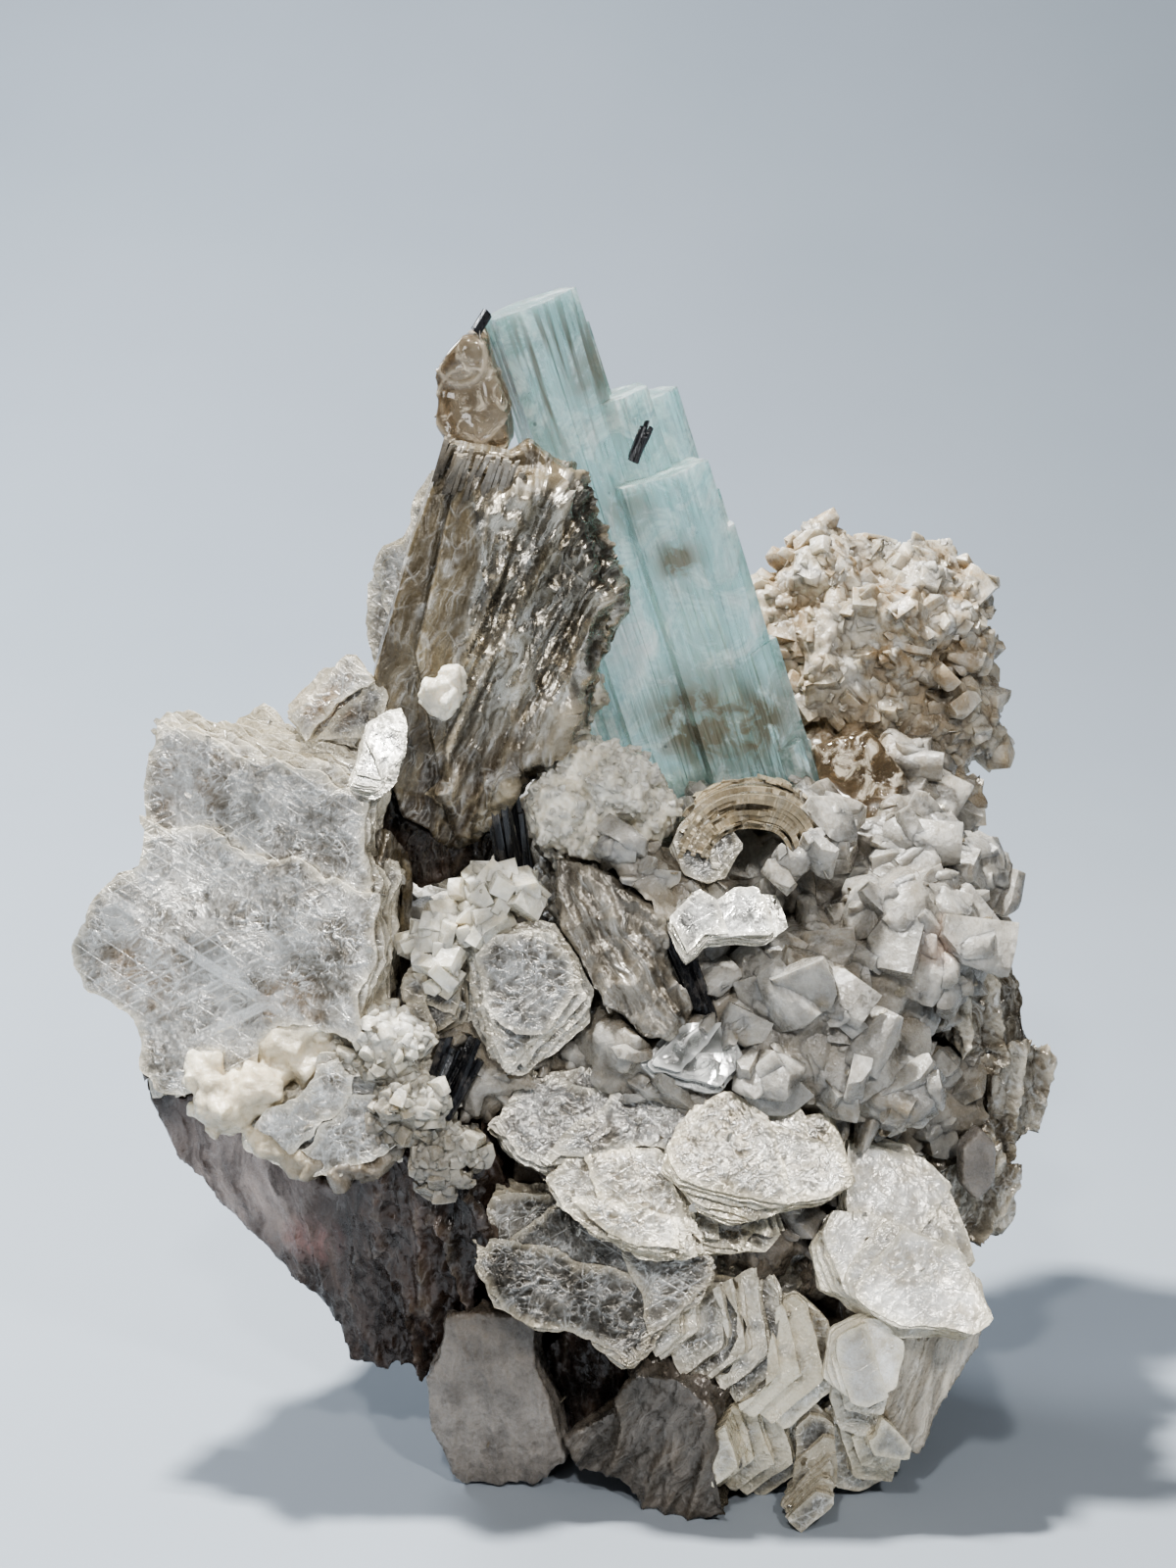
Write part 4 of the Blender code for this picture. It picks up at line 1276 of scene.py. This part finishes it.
def albite_finish(name, white, cream, stain, hollow_shade_and_brown, rust=0.0):
    """Sugary albite: translucent white grains, stained and darkened in patches, with painted shade in the
    hollows that is partly their own brown.
    """
    finish = new_finish(name)
    where = places_of(finish)
    tone = spread(finish, noise_of(finish, where, 2.6, 3.0), 0.38, 0.62, 0.72, 1.12)
    mottle = noise_of(finish, where, 1.6, 5.0)
    sugar = noise_of(finish, where, 0.3, 3.0, 0.6)
    rusty = spread(finish, plus(finish, noise_of(finish, where, 6.0, 4.0), rust), 0.55, 0.75)
    rusty = times(finish, rusty, spread(finish, mottle, 0.35, 0.6))
    # Painted shade: the hollows, low on the height mark, take the hollow colour, which is partly their own
    # brown.
    low = plus(finish, mark_of(finish, "height"), spread(finish, mottle, 0.2, 0.8, -0.2, 0.2))

    colour = mixed(finish, spread(finish, mottle, 0.38, 0.66), white, cream)
    colour = mixed(finish, rusty, colour, stain)
    colour = mixed(finish, spread(finish, low, 0.0, 0.6, 0.8, 0.0), colour, hollow_shade_and_brown)
    colour = spotted(finish, colour, where, ALBITE_SPOTS)

    grains = add(finish, "TexVoronoi", {"Vector": where, "Scale": 1 / (0.9 * MM)})
    relief = plus(finish, sugar, times(finish, grains.outputs["Distance"], 1.2))
    relief = plus(finish, relief, times(finish, mottle, 1.5))
    feed_shader(finish, {
        "Base Color": shaded(finish, colour, tone), "Roughness": spread(finish, sugar, 0.3, 0.7, 0.14, 0.4),
        "Normal": glitter(finish, where, 0.6, 0.22, bump_of(finish, relief, 0.7, 0.13)), "IOR": 1.53,
        "Subsurface Weight": 0.5, "Subsurface Radius": (1.0, 0.9, 0.75), "Subsurface Scale": 1.3 * MM,
    })


def aquamarine_finish():
    """Pale blue-green crystal: clear with milky veils, striations, and stained bands."""
    finish = new_finish("aquamarine")
    where = places_of(finish)
    upright = mapped(finish, where, {"Rotation": (0, 0.305, 0)})
    stretched = mapped(finish, upright, {"Scale": (1.0, 1.0, 0.05)})
    lines = spread(finish, noise_of(finish, stretched, 0.55, 5.0, 0.65), 0.40, 0.62)
    hair = spread(finish, noise_of(finish, stretched, 0.22, 3.0, 0.6), 0.56, 0.70)
    hair = times(finish, hair, spread(finish, noise_of(finish, where, 5.0, 3.0), 0.5, 0.62))
    bands = spread(finish, noise_of(finish, stretched, 1.1, 2.0, 0.5), 0.46, 0.54)
    veils = spread(finish, noise_of(finish, where, 4.5, 7.0, 0.68, 0.8), 0.42, 0.64)
    cracks = thin_lines(finish, noise_of(finish, where, 1.5, 4.0, 0.6, 1.2), 0.016)
    cracks = times(finish, cracks, veils)

    colour = mixed(finish, veils, (0.66, 0.92, 0.89), (0.87, 0.985, 0.96))
    colour = mixed(finish, times(finish, hair, 0.5), colour, (0.30, 0.45, 0.43))
    colour = mixed(finish, times(finish, cracks, 0.5), colour, (0.93, 0.97, 0.95))
    banded = times(finish, near(finish, where, (-2.6, 0.5, 90.0), 8.5), bands)
    stained = times(finish, banded, 0.9)
    colour = mixed(finish, stained, colour, (0.15, 0.135, 0.09))
    mottle = spread(finish, noise_of(finish, where, 1.9, 7.0, 0.65, 0.6), 0.32, 0.52)
    for centre, radius, share in CRYSTAL_SPOTS:
        spot = times(finish, near(finish, where, centre, radius), share)
        spot = times(finish, spot, mottle)
        stained = larger(finish, stained, spot)
        colour = mixed(finish, spot, colour, CRYSTAL_STAIN)
    specks = add(finish, "TexVoronoi", {"Vector": where, "Scale": 1 / (3.2 * MM)})
    specks = spread(finish, specks.outputs["Distance"], 0.05, 0.075, 1.0, 0.0)
    colour = mixed(finish, times(finish, specks, 0.8), colour, (0.10, 0.11, 0.11))

    milky = larger(finish, larger(finish, veils, cracks), times(finish, lines, 0.3))
    clear = spread(finish, larger(finish, milky, stained), 0.0, 1.0, 0.84, 0.36)
    height = plus(finish, times(finish, lines, 0.5), times(finish, hair, -0.5))
    feed_shader(finish, {
        "Base Color": colour, "Transmission Weight": clear,
        "Roughness": spread(finish, lines, 0.0, 1.0, 0.06, 0.2),
        "Normal": bump_of(finish, plus(finish, height, bands), 0.6, 0.14), "IOR": 1.575,
        "Subsurface Weight": 0.4, "Subsurface Radius": (0.6, 1.0, 1.0), "Subsurface Scale": 3.0 * MM,
    })
    absorb = add(finish, "VolumeAbsorption", {"Color": (0.62, 0.90, 0.88, 1.0), "Density": 14.0})
    feed(finish, finish.node_tree.nodes["Material Output"], {"Volume": absorb.outputs["Volume"]})


def clear_mica_finish(name, body, veil, size, relief):
    """Clear glassy mica with a few milky wrinkles `size` across and milky edges."""
    finish = new_finish(name)
    where = places_of(finish)
    rim = mark_of(finish, "rim")
    wrinkles = spread(finish, noise_of(finish, where, size, 6.0, 0.6, 1.5), 0.5, 0.62)
    smoky = spread(finish, noise_of(finish, where, size * 0.8, 3.0), 0.35, 0.65)
    shade = mixed(finish, smoky, (0.66, 0.64, 0.62), (1.0, 1.0, 1.0))
    colour = mixed(finish, 1.0, mixed(finish, wrinkles, body, veil), shade, "MULTIPLY")
    feed_shader(finish, {
        "Base Color": mixed(finish, times(finish, rim, 0.7), colour, veil),
        "Transmission Weight": spread(finish, larger(finish, rim, wrinkles), 0.0, 1.0, 0.82, 0.35),
        "Roughness": spread(finish, wrinkles, 0.0, 1.0, 0.06, 0.3),
        "Normal": bump_of(finish, wrinkles, 0.4, relief), "IOR": 1.56,
    })


def schorl_finish():
    """Black tourmaline: glassy, grooved along its length, dusted in places."""
    finish = new_finish("schorl")
    where = places_of(finish)
    lines = noise_of(finish, mapped(finish, where, {"Scale": (1.0, 1.0, 0.08)}), 0.25, 3.0)
    dust = spread(finish, noise_of(finish, where, 1.6, 5.0), 0.55, 0.75)
    feed_shader(finish, {
        "Base Color": mixed(finish, times(finish, dust, 0.5), (0.012, 0.012, 0.014), (0.22, 0.20, 0.18)),
        "Roughness": spread(finish, lines, 0.3, 0.7, 0.12, 0.42),
        "Normal": bump_of(finish, lines, 0.6, 0.08), "IOR": 1.64,
    })


def mica_finishes():
    """Each with its pale and dark colours, its rim colour, which is partly a painted highlight, its
    metallic share, and its glitter.
    """
    mica_finish(
        "silver_mica", (0.50, 0.49, 0.465), (0.20, 0.18, 0.15), (0.84, 0.77, 0.62), 0.55, 0.18, 0.95,
        spots=LEFT_PLATE_SPOTS,
    )
    mica_finish(
        "bright_mica", (0.92, 0.92, 0.89), (0.70, 0.69, 0.66), (0.88, 0.83, 0.70), 0.9, 0.1, relief=0.4
    )
    # Pearl mica: its near-white is partly painted light, the sheen of faces tilted to the lamps, over the
    # mica's own pale silver-white.
    mica_finish(
        "pearl_mica", (0.97, 0.95, 0.90), (0.62, 0.56, 0.46), (0.90, 0.82, 0.63), 0.25, 0.18, 0.8,
        relief=0.7,
    )
    mica_finish(
        "cream_mica", (0.66, 0.63, 0.56), (0.30, 0.26, 0.195), (0.86, 0.77, 0.58), 0.55, 0.18, 0.8,
        relief=0.65,
    )
    # Grey mica: darker than the silver, as painted shade for the sheets that lie in shade, over their own
    # darker see-through grey.
    mica_finish("grey_mica", (0.19, 0.175, 0.15), (0.05, 0.043, 0.033), (0.60, 0.53, 0.40), 0.5, 0.15, 0.6)
    mica_finish(
        "brown_mica", (0.22, 0.18, 0.115), (0.11, 0.085, 0.052), (0.42, 0.35, 0.24), 0.35, 0.15, 0.45, 0.1,
        spots=TALL_BOOK_SPOTS,
    )
    mica_finish(
        "dark_mica", (0.08, 0.05, 0.036), (0.018, 0.012, 0.009), (0.16, 0.125, 0.09), 0.15, 0.25, 0.1, 0.12,
        spots=BASE_SPOTS,
    )
    mica_finish(
        "column_mica", (0.27, 0.235, 0.185), (0.08, 0.066, 0.05), (0.46, 0.41, 0.33), 0.4, 0.2, 0.4, 0.1
    )
    mica_finish(
        "ragged_mica", (0.54, 0.48, 0.38), (0.19, 0.15, 0.10), (0.80, 0.71, 0.55), 0.45, 0.3, 0.6, 0.3
    )
    mica_finish(
        "side_mica", (0.72, 0.65, 0.54), (0.40, 0.33, 0.24), (0.84, 0.76, 0.62), 0.3, 0.12, 0.3, 0.12
    )
    clear_mica_finish("amber_mica", (0.36, 0.275, 0.18), (0.80, 0.72, 0.58), 2.4, 0.10)
    clear_mica_finish("clear_mica", (0.70, 0.72, 0.70), (0.88, 0.88, 0.85), 2.2, 0.08)


def albite_finishes():
    """Each with its white, its cream, its stain, and the colour of its hollows, which is painted shade and
    partly their own brown.
    """
    albite_finish(
        "albite", (0.40, 0.385, 0.355), (0.32, 0.30, 0.265), (0.28, 0.225, 0.15), (0.25, 0.215, 0.165)
    )
    albite_finish(
        "waxy_albite", (0.80, 0.77, 0.68), (0.74, 0.68, 0.55), (0.56, 0.45, 0.29), (0.78, 0.73, 0.61)
    )
    albite_finish(
        "dull_albite", (0.30, 0.275, 0.25), (0.25, 0.22, 0.195), (0.17, 0.14, 0.11), (0.25, 0.225, 0.20)
    )
    # Shaded albite: a darker copy of the albite, painted shade for the blades at the foot, which lie in
    # shade.
    albite_finish(
        "stained_albite", (0.55, 0.52, 0.46), (0.47, 0.41, 0.31), (0.30, 0.215, 0.125),
        (0.27, 0.205, 0.13), rust=0.12,
    )


# ---------------------------------------------------------------- the specimen


# The tall book's smooth left wall ends at this x, and leans to the left below this height.
WALL_EDGE = -9.4
WALL_BEND = 78
# The broken column ends on its top: how many, the first one's x, their spacing and their height.
COLUMN_ENDS = 30
FIRST_END = -11.0
END_SPACING = 0.22
END_HEIGHT = 85.8


def tall_book_rough(corners):
    """1 on the tall book's crumbled front, 0 on the smooth wall that leans down its left."""
    x, _, z = corners.T
    wall = WALL_EDGE + 0.7 * swell(corners, 5, 4) - 0.12 * np.clip(WALL_BEND - z, 0, 30)
    return ramp(x - wall, 0, 0.5) * ramp(z, 52, 6, least=0.5) * ramp(z, 84, -2, least=0.1)


def tall_book_shine(corners):
    """Silver where the front is crumbled, fading to brown near the foot and at the very top."""
    z = corners[:, 2]
    return tall_book_rough(corners) * ramp(z, 60, 7, least=0.1) * ramp(z, 83.5, -2, least=0.25)


def tall_book_ends():
    """The row of broken column ends that stands out of the tall book's top."""
    rng = random.Random(5)
    tree = search_tree(*solid_of("mica_tall_book"))
    bars = []
    for k in range(COLUMN_ENDS):
        x = FIRST_END + END_SPACING * k + rng.uniform(-0.15, 0.15)
        high = END_HEIGHT - 0.04 * k - 0.12 * max(0, k - 18) + rng.uniform(-0.9, 0.5)
        front = tree.ray_cast(Vector((x, -40, high - 2)), Vector((0, 1, 0)))[0]
        y = (front.y if front else -1.0) + rng.uniform(-0.3, 0.3)
        foot = (x - 1.0, y, high - rng.uniform(1.6, 3.4))
        corners, faces = bar(foot, (x, y, high), rng.uniform(0.2, 0.5), rng.uniform(0.8, 1.6))
        corners[4:, 2] += rng.uniform(-0.35, 0.35) * (corners[4:, 0] - x)
        bars.append((corners, faces))
    corners, faces = stacked(bars)
    shares = np.tile(np.repeat([0.0, 0.5], 4), COLUMN_ENDS)
    flats = corners[:, (0, 2)] / 10
    piece = mesh_piece("mica_tall_book_column_ends", corners, faces, flats, shares, shares)
    kept_inside(piece)
    finished(piece, "column_mica", angle=20)


CRISP = {"torn": 0.12, "nick": 0.05, "wave": 0.12, "packet": 0.08}


def base_rough(corners):
    """The dark base is smoother on its left wall."""
    return ramp(corners[:, 0], -19, 3, least=0.25)


def left_side_books():
    mica_book(
        "mica_left_plate", (-10, 10), "silver_mica", terraces=4, cover=0.72, torn=0.45, nick=0.1,
        wave=0.4, pitch=0.45,
    )
    mica_book("mica_left_edge_book", (-40, 5), "silver_mica", torn=0.5)
    mica_book("mica_left_tip", (-8, 12), "silver_mica", terraces=3)
    mica_book("mica_bright_flake", (12, 25), "bright_mica", **CRISP, terraces=2, pitch=0.25)
    fibre_book(
        "mica_side_book", (0.1, 0, -1), "brown_mica", voxel=0.22, rough=0.3, fold=0.4, crumb=0.2, fine=0.12
    )
    mica_book("mica_ridge_plate", (-5, 8), "silver_mica", terraces=4, torn=0.6, grow=1.6)
    fibre_book(
        "mica_brown_base", (0.12, 0, -1), "dark_mica", voxel=0.33, rough=base_rough, fold=1.4, crumb=0.5,
        fine=0.1,
    )
    mica_book("mica_behind_tall_book", (-12, 5), "silver_mica", terraces=1)


def top_books():
    rounded_book("mica_tip_knot", "amber_mica", [(-9.3, 88.0, 2.9), (-10.2, 91.6, 2.1)])
    fibre_book(
        "mica_tall_book", (-0.38, 0, -0.92), "brown_mica", voxel=0.215, rough=tall_book_rough, fold=1.0,
        crumb=0.5, fine=0.04, silver=tall_book_shine, raised=0.8,
    )
    tall_book_ends()
    fibre_book(
        "mica_below_tall_book", (-0.2, 0, -1), "dark_mica", voxel=0.25, rough=0.5, fold=0.6, crumb=0.25
    )


def front_books():
    mica_book("mica_front_upper_plate", (0, 28), "cream_mica", torn=0.3)
    mica_book("mica_front_plate", (0, 18), "grey_mica", torn=0.4)
    mica_book("mica_ledge", (5, 32), "cream_mica", **CRISP, terraces=3, cover=0.6)
    mica_book("mica_ledge_step", (3, 32), "cream_mica", **CRISP)
    mica_book("mica_shelf", (0, 30), "silver_mica", torn=0.4)
    mica_book("mica_under_ledge", (0, 8), "cream_mica", **CRISP)
    fibre_book("mica_cavity_plate", (0.3, 0, -1), "dark_mica", voxel=0.25, rough=0.6, fold=0.6, crumb=0.25)


def rosette_books():
    fans = {
        "torn": 0.1, "nick": 0.04, "wave": 0.1, "packet": 0.05, "pitch": 0.34, "run": 0.42, "group": 3,
        "climb": 0.6, "terraces": 0,
    }
    mica_book("mica_rosette_top", (12, 28), "pearl_mica", **CRISP, terraces=4, cover=0.6)
    mica_book("mica_rosette_cap", (15, 35), "pearl_mica", **CRISP, terraces=3, cover=0.6)
    mica_book("mica_rosette_flake", (10, 8), "pearl_mica", **CRISP, terraces=2)
    mica_book("mica_fan_1", (-25, 22), "silver_mica", **fans, stairs=(0, 5))
    mica_book("mica_fan_2", (-20, 18), "silver_mica", **fans, stairs=(0, 5))
    mica_book("mica_fan_3", (-6, 12), "cream_mica", **fans, stairs=(0, 5))
    mica_book("mica_fan_4", (6, 8), "silver_mica", **fans, stairs=(3, 4))
    fibre_book(
        "mica_rosette_side", (-0.35, 0, -0.94), "side_mica", voxel=0.26, rough=0.25, fold=0.6, crumb=0.2,
        fine=0.08,
    )
    mica_book("mica_end_book_cream", (-12, -4), "cream_mica", **fans, stairs=(0, 5))
    mica_book("mica_end_book_grey", (0, 0), "grey_mica", **fans, stairs=(1, 2))
    mica_book("mica_end_book_right", (14, -4), "cream_mica", **fans, stairs=(3, 4))
    fibre_book(
        "mica_fan_dark", (-0.45, 0, -0.9), "dark_mica", voxel=0.25, rough=0.7, fold=1.0, crumb=0.25,
        fine=0.1, silver=0.25,
    )


def right_books():
    for place, slope in (("upper", 0.25), ("lower", 0.1), ("bottom", -0.3)):
        fibre_book(
            "mica_right_" + place, (slope, 0, -1), "ragged_mica", voxel=0.22, rough=0.85, fold=1.3,
            crumb=0.5, fine=0.08, silver=0.15,
        )


def centre_books():
    mica_book(
        "mica_silver_flake", (4, 45), "bright_mica", **CRISP, pitch=0.22, run=0.5, stairs=(0, 2)
    )
    mica_book("mica_clear_flake", (8, 32), "clear_mica", **CRISP, pitch=0.5, terraces=1)
    mica_book("mica_centre_plate", (3, 15), "silver_mica", torn=0.3, terraces=5, cover=0.6)
    mica_book("mica_centre_small", (-8, 10), "grey_mica")
    fibre_book(
        "mica_diagonal_book", (0.5, 0, -0.87), "column_mica", voxel=0.2, rough=0.6, fold=1.0, crumb=0.4,
        fine=0.1, silver=0.25,
    )
    mica_book("mica_cave_flake", (5, 20), "silver_mica", **CRISP)
    curved_book(
        "mica_curved_book", (6, 10), (12.8, -8, 52), 5.5, "brown_mica", pitch=0.24, fill=1.35, torn=1.0,
        nick=0.12, packet=0.5, grain=0.6, run=0, wave=0.08, crease=0, fray=0.05,
    )
    rounded_book("mica_saddle", "amber_mica", [])


def back_books():
    mica_book("mica_back_left", (165, 12), "silver_mica")
    mica_book("mica_back_centre", (185, -4), "cream_mica")
    mica_book("mica_back_right", (200, 15), "silver_mica")


def front_albite():
    """The stepped mass round the middle: melted plates with sharp chips over them."""
    plates = {
        "count": 3000, "sizes": (1.1, 2.3), "stretch": (1.5, 1.0, 0.6), "apart": 2.0, "cuts": 8,
        "lift": (-0.15, 0, 0.35), "wobble": 0.45, "sunk": 0.3,
    }
    chips = {
        **plates, "count": 5400, "sizes": (0.5, 1.9), "stretch": (1.5, 1.1, 0.6), "apart": 1.3,
        "wobble": 0.5, "sunk": 0.5, "cuts": 11,
    }
    bridge = ((15.8, -8.9, 52.6), (18.4, -8.6, 54.0), (20.2, -7.0, 56.5))
    albite(
        "albite_matrix", "albite", 0.35, [plates], crumble=0.3, most=72000, crisp=[chips],
        trails=[(bridge, (0.5, 1.1))],
    )


def upper_albite():
    """The mass behind on the right: stained lumps with bits and blades over them."""
    lumps = {"count": 1200, "sizes": (1.2, 2.8), "apart": 2.6, "cuts": 14, "sunk": 0.4}
    bits = {"count": 2000, "sizes": (0.35, 1.2), "apart": 0.9, "sunk": 0.75, "cuts": 10}
    blades = {
        "count": 300, "sizes": (0.5, 1.1), "stretch": (1.6, 0.9, 0.4), "apart": 2.2, "wobble": 0.8,
        "sunk": 0.2, "cuts": 7,
    }
    albite(
        "albite_upper_mass", "stained_albite", 0.3, [lumps], crumble=0.5, most=66000, soft=3,
        crisp=[bits, blades],
    )


def small_albite():
    """The smaller crusts, lumps and blades, most of them waxy."""
    small = {"count": 900, "sizes": (0.3, 0.75), "apart": 0.6, "sunk": 0.3}
    knobs = {**small, "sizes": (0.6, 1.2), "apart": 1.3}
    albite("albite_ridge", "waxy_albite", 0.2, [knobs], crumble=0.3, soft=4, crisp=[small])
    cubes = {"count": 400, "sizes": (0.6, 1.2), "apart": 1.0, "cuts": 3, "wobble": 1.5, "sunk": 0.3}
    albite("albite_small_crystals", "waxy_albite", 0.2, [], crisp=[cubes])
    sugar = {"count": 900, "sizes": (0.15, 0.35), "apart": 0.4, "sunk": 0.6}
    up_crystal = ((-3.4, 1.2, 58.0), (-1.2, 1.6, 61.5), (0.4, 2.0, 65.0))
    albite(
        "albite_under_crystal", "waxy_albite", 0.17, [{**small, "apart": 1.0}], crumble=0.5, soft=9,
        crisp=[sugar], trails=[(up_crystal, (0.7, 1.4))],
    )
    top_rim = ((-25.5, -10.6, 38.0), (-22, -10.2, 39.8), (-18.5, -10.2, 40.2), (-15.5, -10.6, 38.2))
    inner_rim = ((-25.5, -10.8, 36.0), (-23, -10.8, 37.2), (-19.5, -10.6, 37.6))
    low_rim = ((-27, -13.2, 32.0), (-23.4, -13.5, 29.4), (-18, -13.6, 28.6), (-14.6, -13.4, 30.6))
    albite(
        "albite_cream_lump", "waxy_albite", 0.17, [{**small, "count": 200}], crumble=0.2, soft=9,
        trails=[(top_rim, (0.8, 1.6)), (inner_rim, (0.9, 1.5)), (low_rim, (0.4, 0.9))],
    )
    albite("albite_on_tall_book", "waxy_albite", 0.14, [{**small, "count": 60}], crumble=0.2, soft=9)
    fibre_book(
        "albite_blade", (0.08, 0, -1), "dull_albite", voxel=0.24, rough=0.45, fold=0.5, crumb=0.35
    )
    albite("albite_blade_right", "dull_albite", 0.18, [], soft=30)


def schorl_bundles():
    needle_bundle("schorl_on_crystal", (3.5, -1.1, 84.0), (4.4, -1.0, 86.3), 0.42, 5, 0.5)
    needle_bundle("schorl_at_tip", (-8.8, 1.0, 93.4), (-8.0, 1.2, 94.8), 0.6, 2, 0.3)
    needle_bundle("schorl_below_tall_book", (-5.6, -5, 49), (-6.6, -5.5, 57), 0.6, 12, 1.1)
    needle_bundle("schorl_lower_left", (-12, -13.5, 34), (-10, -12, 38.5), 0.55, 12, 1.1)
    needle_bundle("schorl_right_of_centre", (9.2, -11, 41), (6.8, -10, 47), 0.55, 8, 0.7)


def scales_in_nooks():
    """Loose scales between the pieces, except on the dark books, where they would look like dots."""
    pieces = [thing for thing in bpy.data.objects if "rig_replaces" in thing]
    stone = [piece for piece in pieces if piece.name.startswith("albite")]
    books = [piece for piece in pieces if piece.name.startswith("mica")]
    books = [piece for piece in books if not any(word in piece.name for word in ("tall", "dark", "brown"))]
    loose_scales("mica_scales_on_albite", stone, 2200, (0.2, 0.6), "cream_mica", 3)
    loose_scales("mica_scales_on_books", books, 5000, (0.2, 0.6), "silver_mica", 4)
    loose_scales("brown_scales_in_nooks", stone + books, 1500, (0.3, 0.8), "brown_mica", 5)


# ---------------------------------------------------------------- camera, floor and light


def view_camera():
    down = math.radians(VIEW_DOWN)
    look = Vector((0, math.cos(down), -math.sin(down)))
    data = bpy.data.cameras.new("camera")
    data.sensor_fit = "VERTICAL"
    data.sensor_height = SENSOR_HEIGHT
    data.lens = SENSOR_HEIGHT * VIEW_DISTANCE / VIEW_HEIGHT
    data.clip_start = MM
    camera = bpy.data.objects.new("camera", data)
    camera.location = (Vector(VIEW_CENTRE) - look * VIEW_DISTANCE) * MM
    camera.rotation_euler = (math.radians(90) - down, 0, 0)
    bpy.context.scene.collection.objects.link(camera)
    bpy.context.scene.camera = camera


def soft_light(name, place, aim, size, power, colour):
    data = bpy.data.lights.new(name, "AREA")
    data.size = size * MM
    data.energy = power
    data.color = colour
    light = bpy.data.objects.new(name, data)
    light.location = Vector(place) * MM
    light.rotation_euler = (Vector(aim) - Vector(place)).to_track_quat("-Z", "Y").to_euler()
    bpy.context.scene.collection.objects.link(light)


def sweeping_floor():
    """A pale floor that sweeps up behind: a plane with a wall, and a round bend between them."""
    bpy.ops.object.select_all(action="DESELECT")
    bpy.ops.mesh.primitive_plane_add(size=FLOOR_SIZE * MM, location=(0, FLOOR_MIDDLE * MM, 0))
    floor = bpy.context.object
    floor.name = "pale_floor"
    bpy.ops.object.mode_set(mode="EDIT")
    bpy.ops.mesh.select_all(action="DESELECT")
    bpy.ops.mesh.select_mode(type="EDGE")
    bpy.ops.object.mode_set(mode="OBJECT")
    for edge in floor.data.edges:
        edge.select = all(floor.data.vertices[corner].co.y > 0 for corner in edge.vertices)
    bpy.ops.object.mode_set(mode="EDIT")
    bpy.ops.mesh.extrude_edges_move(TRANSFORM_OT_translate={"value": (0, 0, WALL_HEIGHT * MM)})
    bpy.ops.object.mode_set(mode="OBJECT")
    for edge in floor.data.edges:
        ends = [floor.data.vertices[corner].co for corner in edge.vertices]
        edge.select = all(end.y > 0 and abs(end.z) < MM for end in ends)
    bpy.ops.object.mode_set(mode="EDIT")
    bpy.ops.mesh.bevel(offset=SWEEP_RADIUS * MM, segments=16, affect="EDGES")
    bpy.ops.object.mode_set(mode="OBJECT")
    bpy.ops.object.transform_apply(location=True, rotation=True, scale=True)
    bpy.ops.object.shade_smooth()
    paint = new_finish("pale_floor")
    grain = noise_of(paint, places_of(paint), 60, 3.0)
    feed_shader(paint, {
        "Base Color": mixed(paint, grain, (0.29, 0.325, 0.37), (0.33, 0.365, 0.41)), "Roughness": 0.75,
    })
    floor.data.materials.append(paint)


def studio():
    """The floor, a high key light and soft fill under a faint pale sky."""
    sweeping_floor()
    bpy.context.scene.view_settings.look = "AgX - Medium High Contrast"
    world = bpy.context.scene.world or bpy.data.worlds.new("studio")
    bpy.context.scene.world = world
    world.use_nodes = True
    sky = world.node_tree.nodes["Background"]
    sky.inputs["Color"].default_value = (0.62, 0.70, 0.80, 1)
    sky.inputs["Strength"].default_value = 0.045
    for light in LIGHTS:
        soft_light(*light)


mica_finishes()
albite_finishes()
aquamarine_finish()
schorl_finish()
view_camera()
studio()
left_side_books()
top_books()
front_books()
rosette_books()
right_books()
centre_books()
back_books()
front_albite()
upper_albite()
small_albite()
aquamarine()
schorl_bundles()
scales_in_nooks()
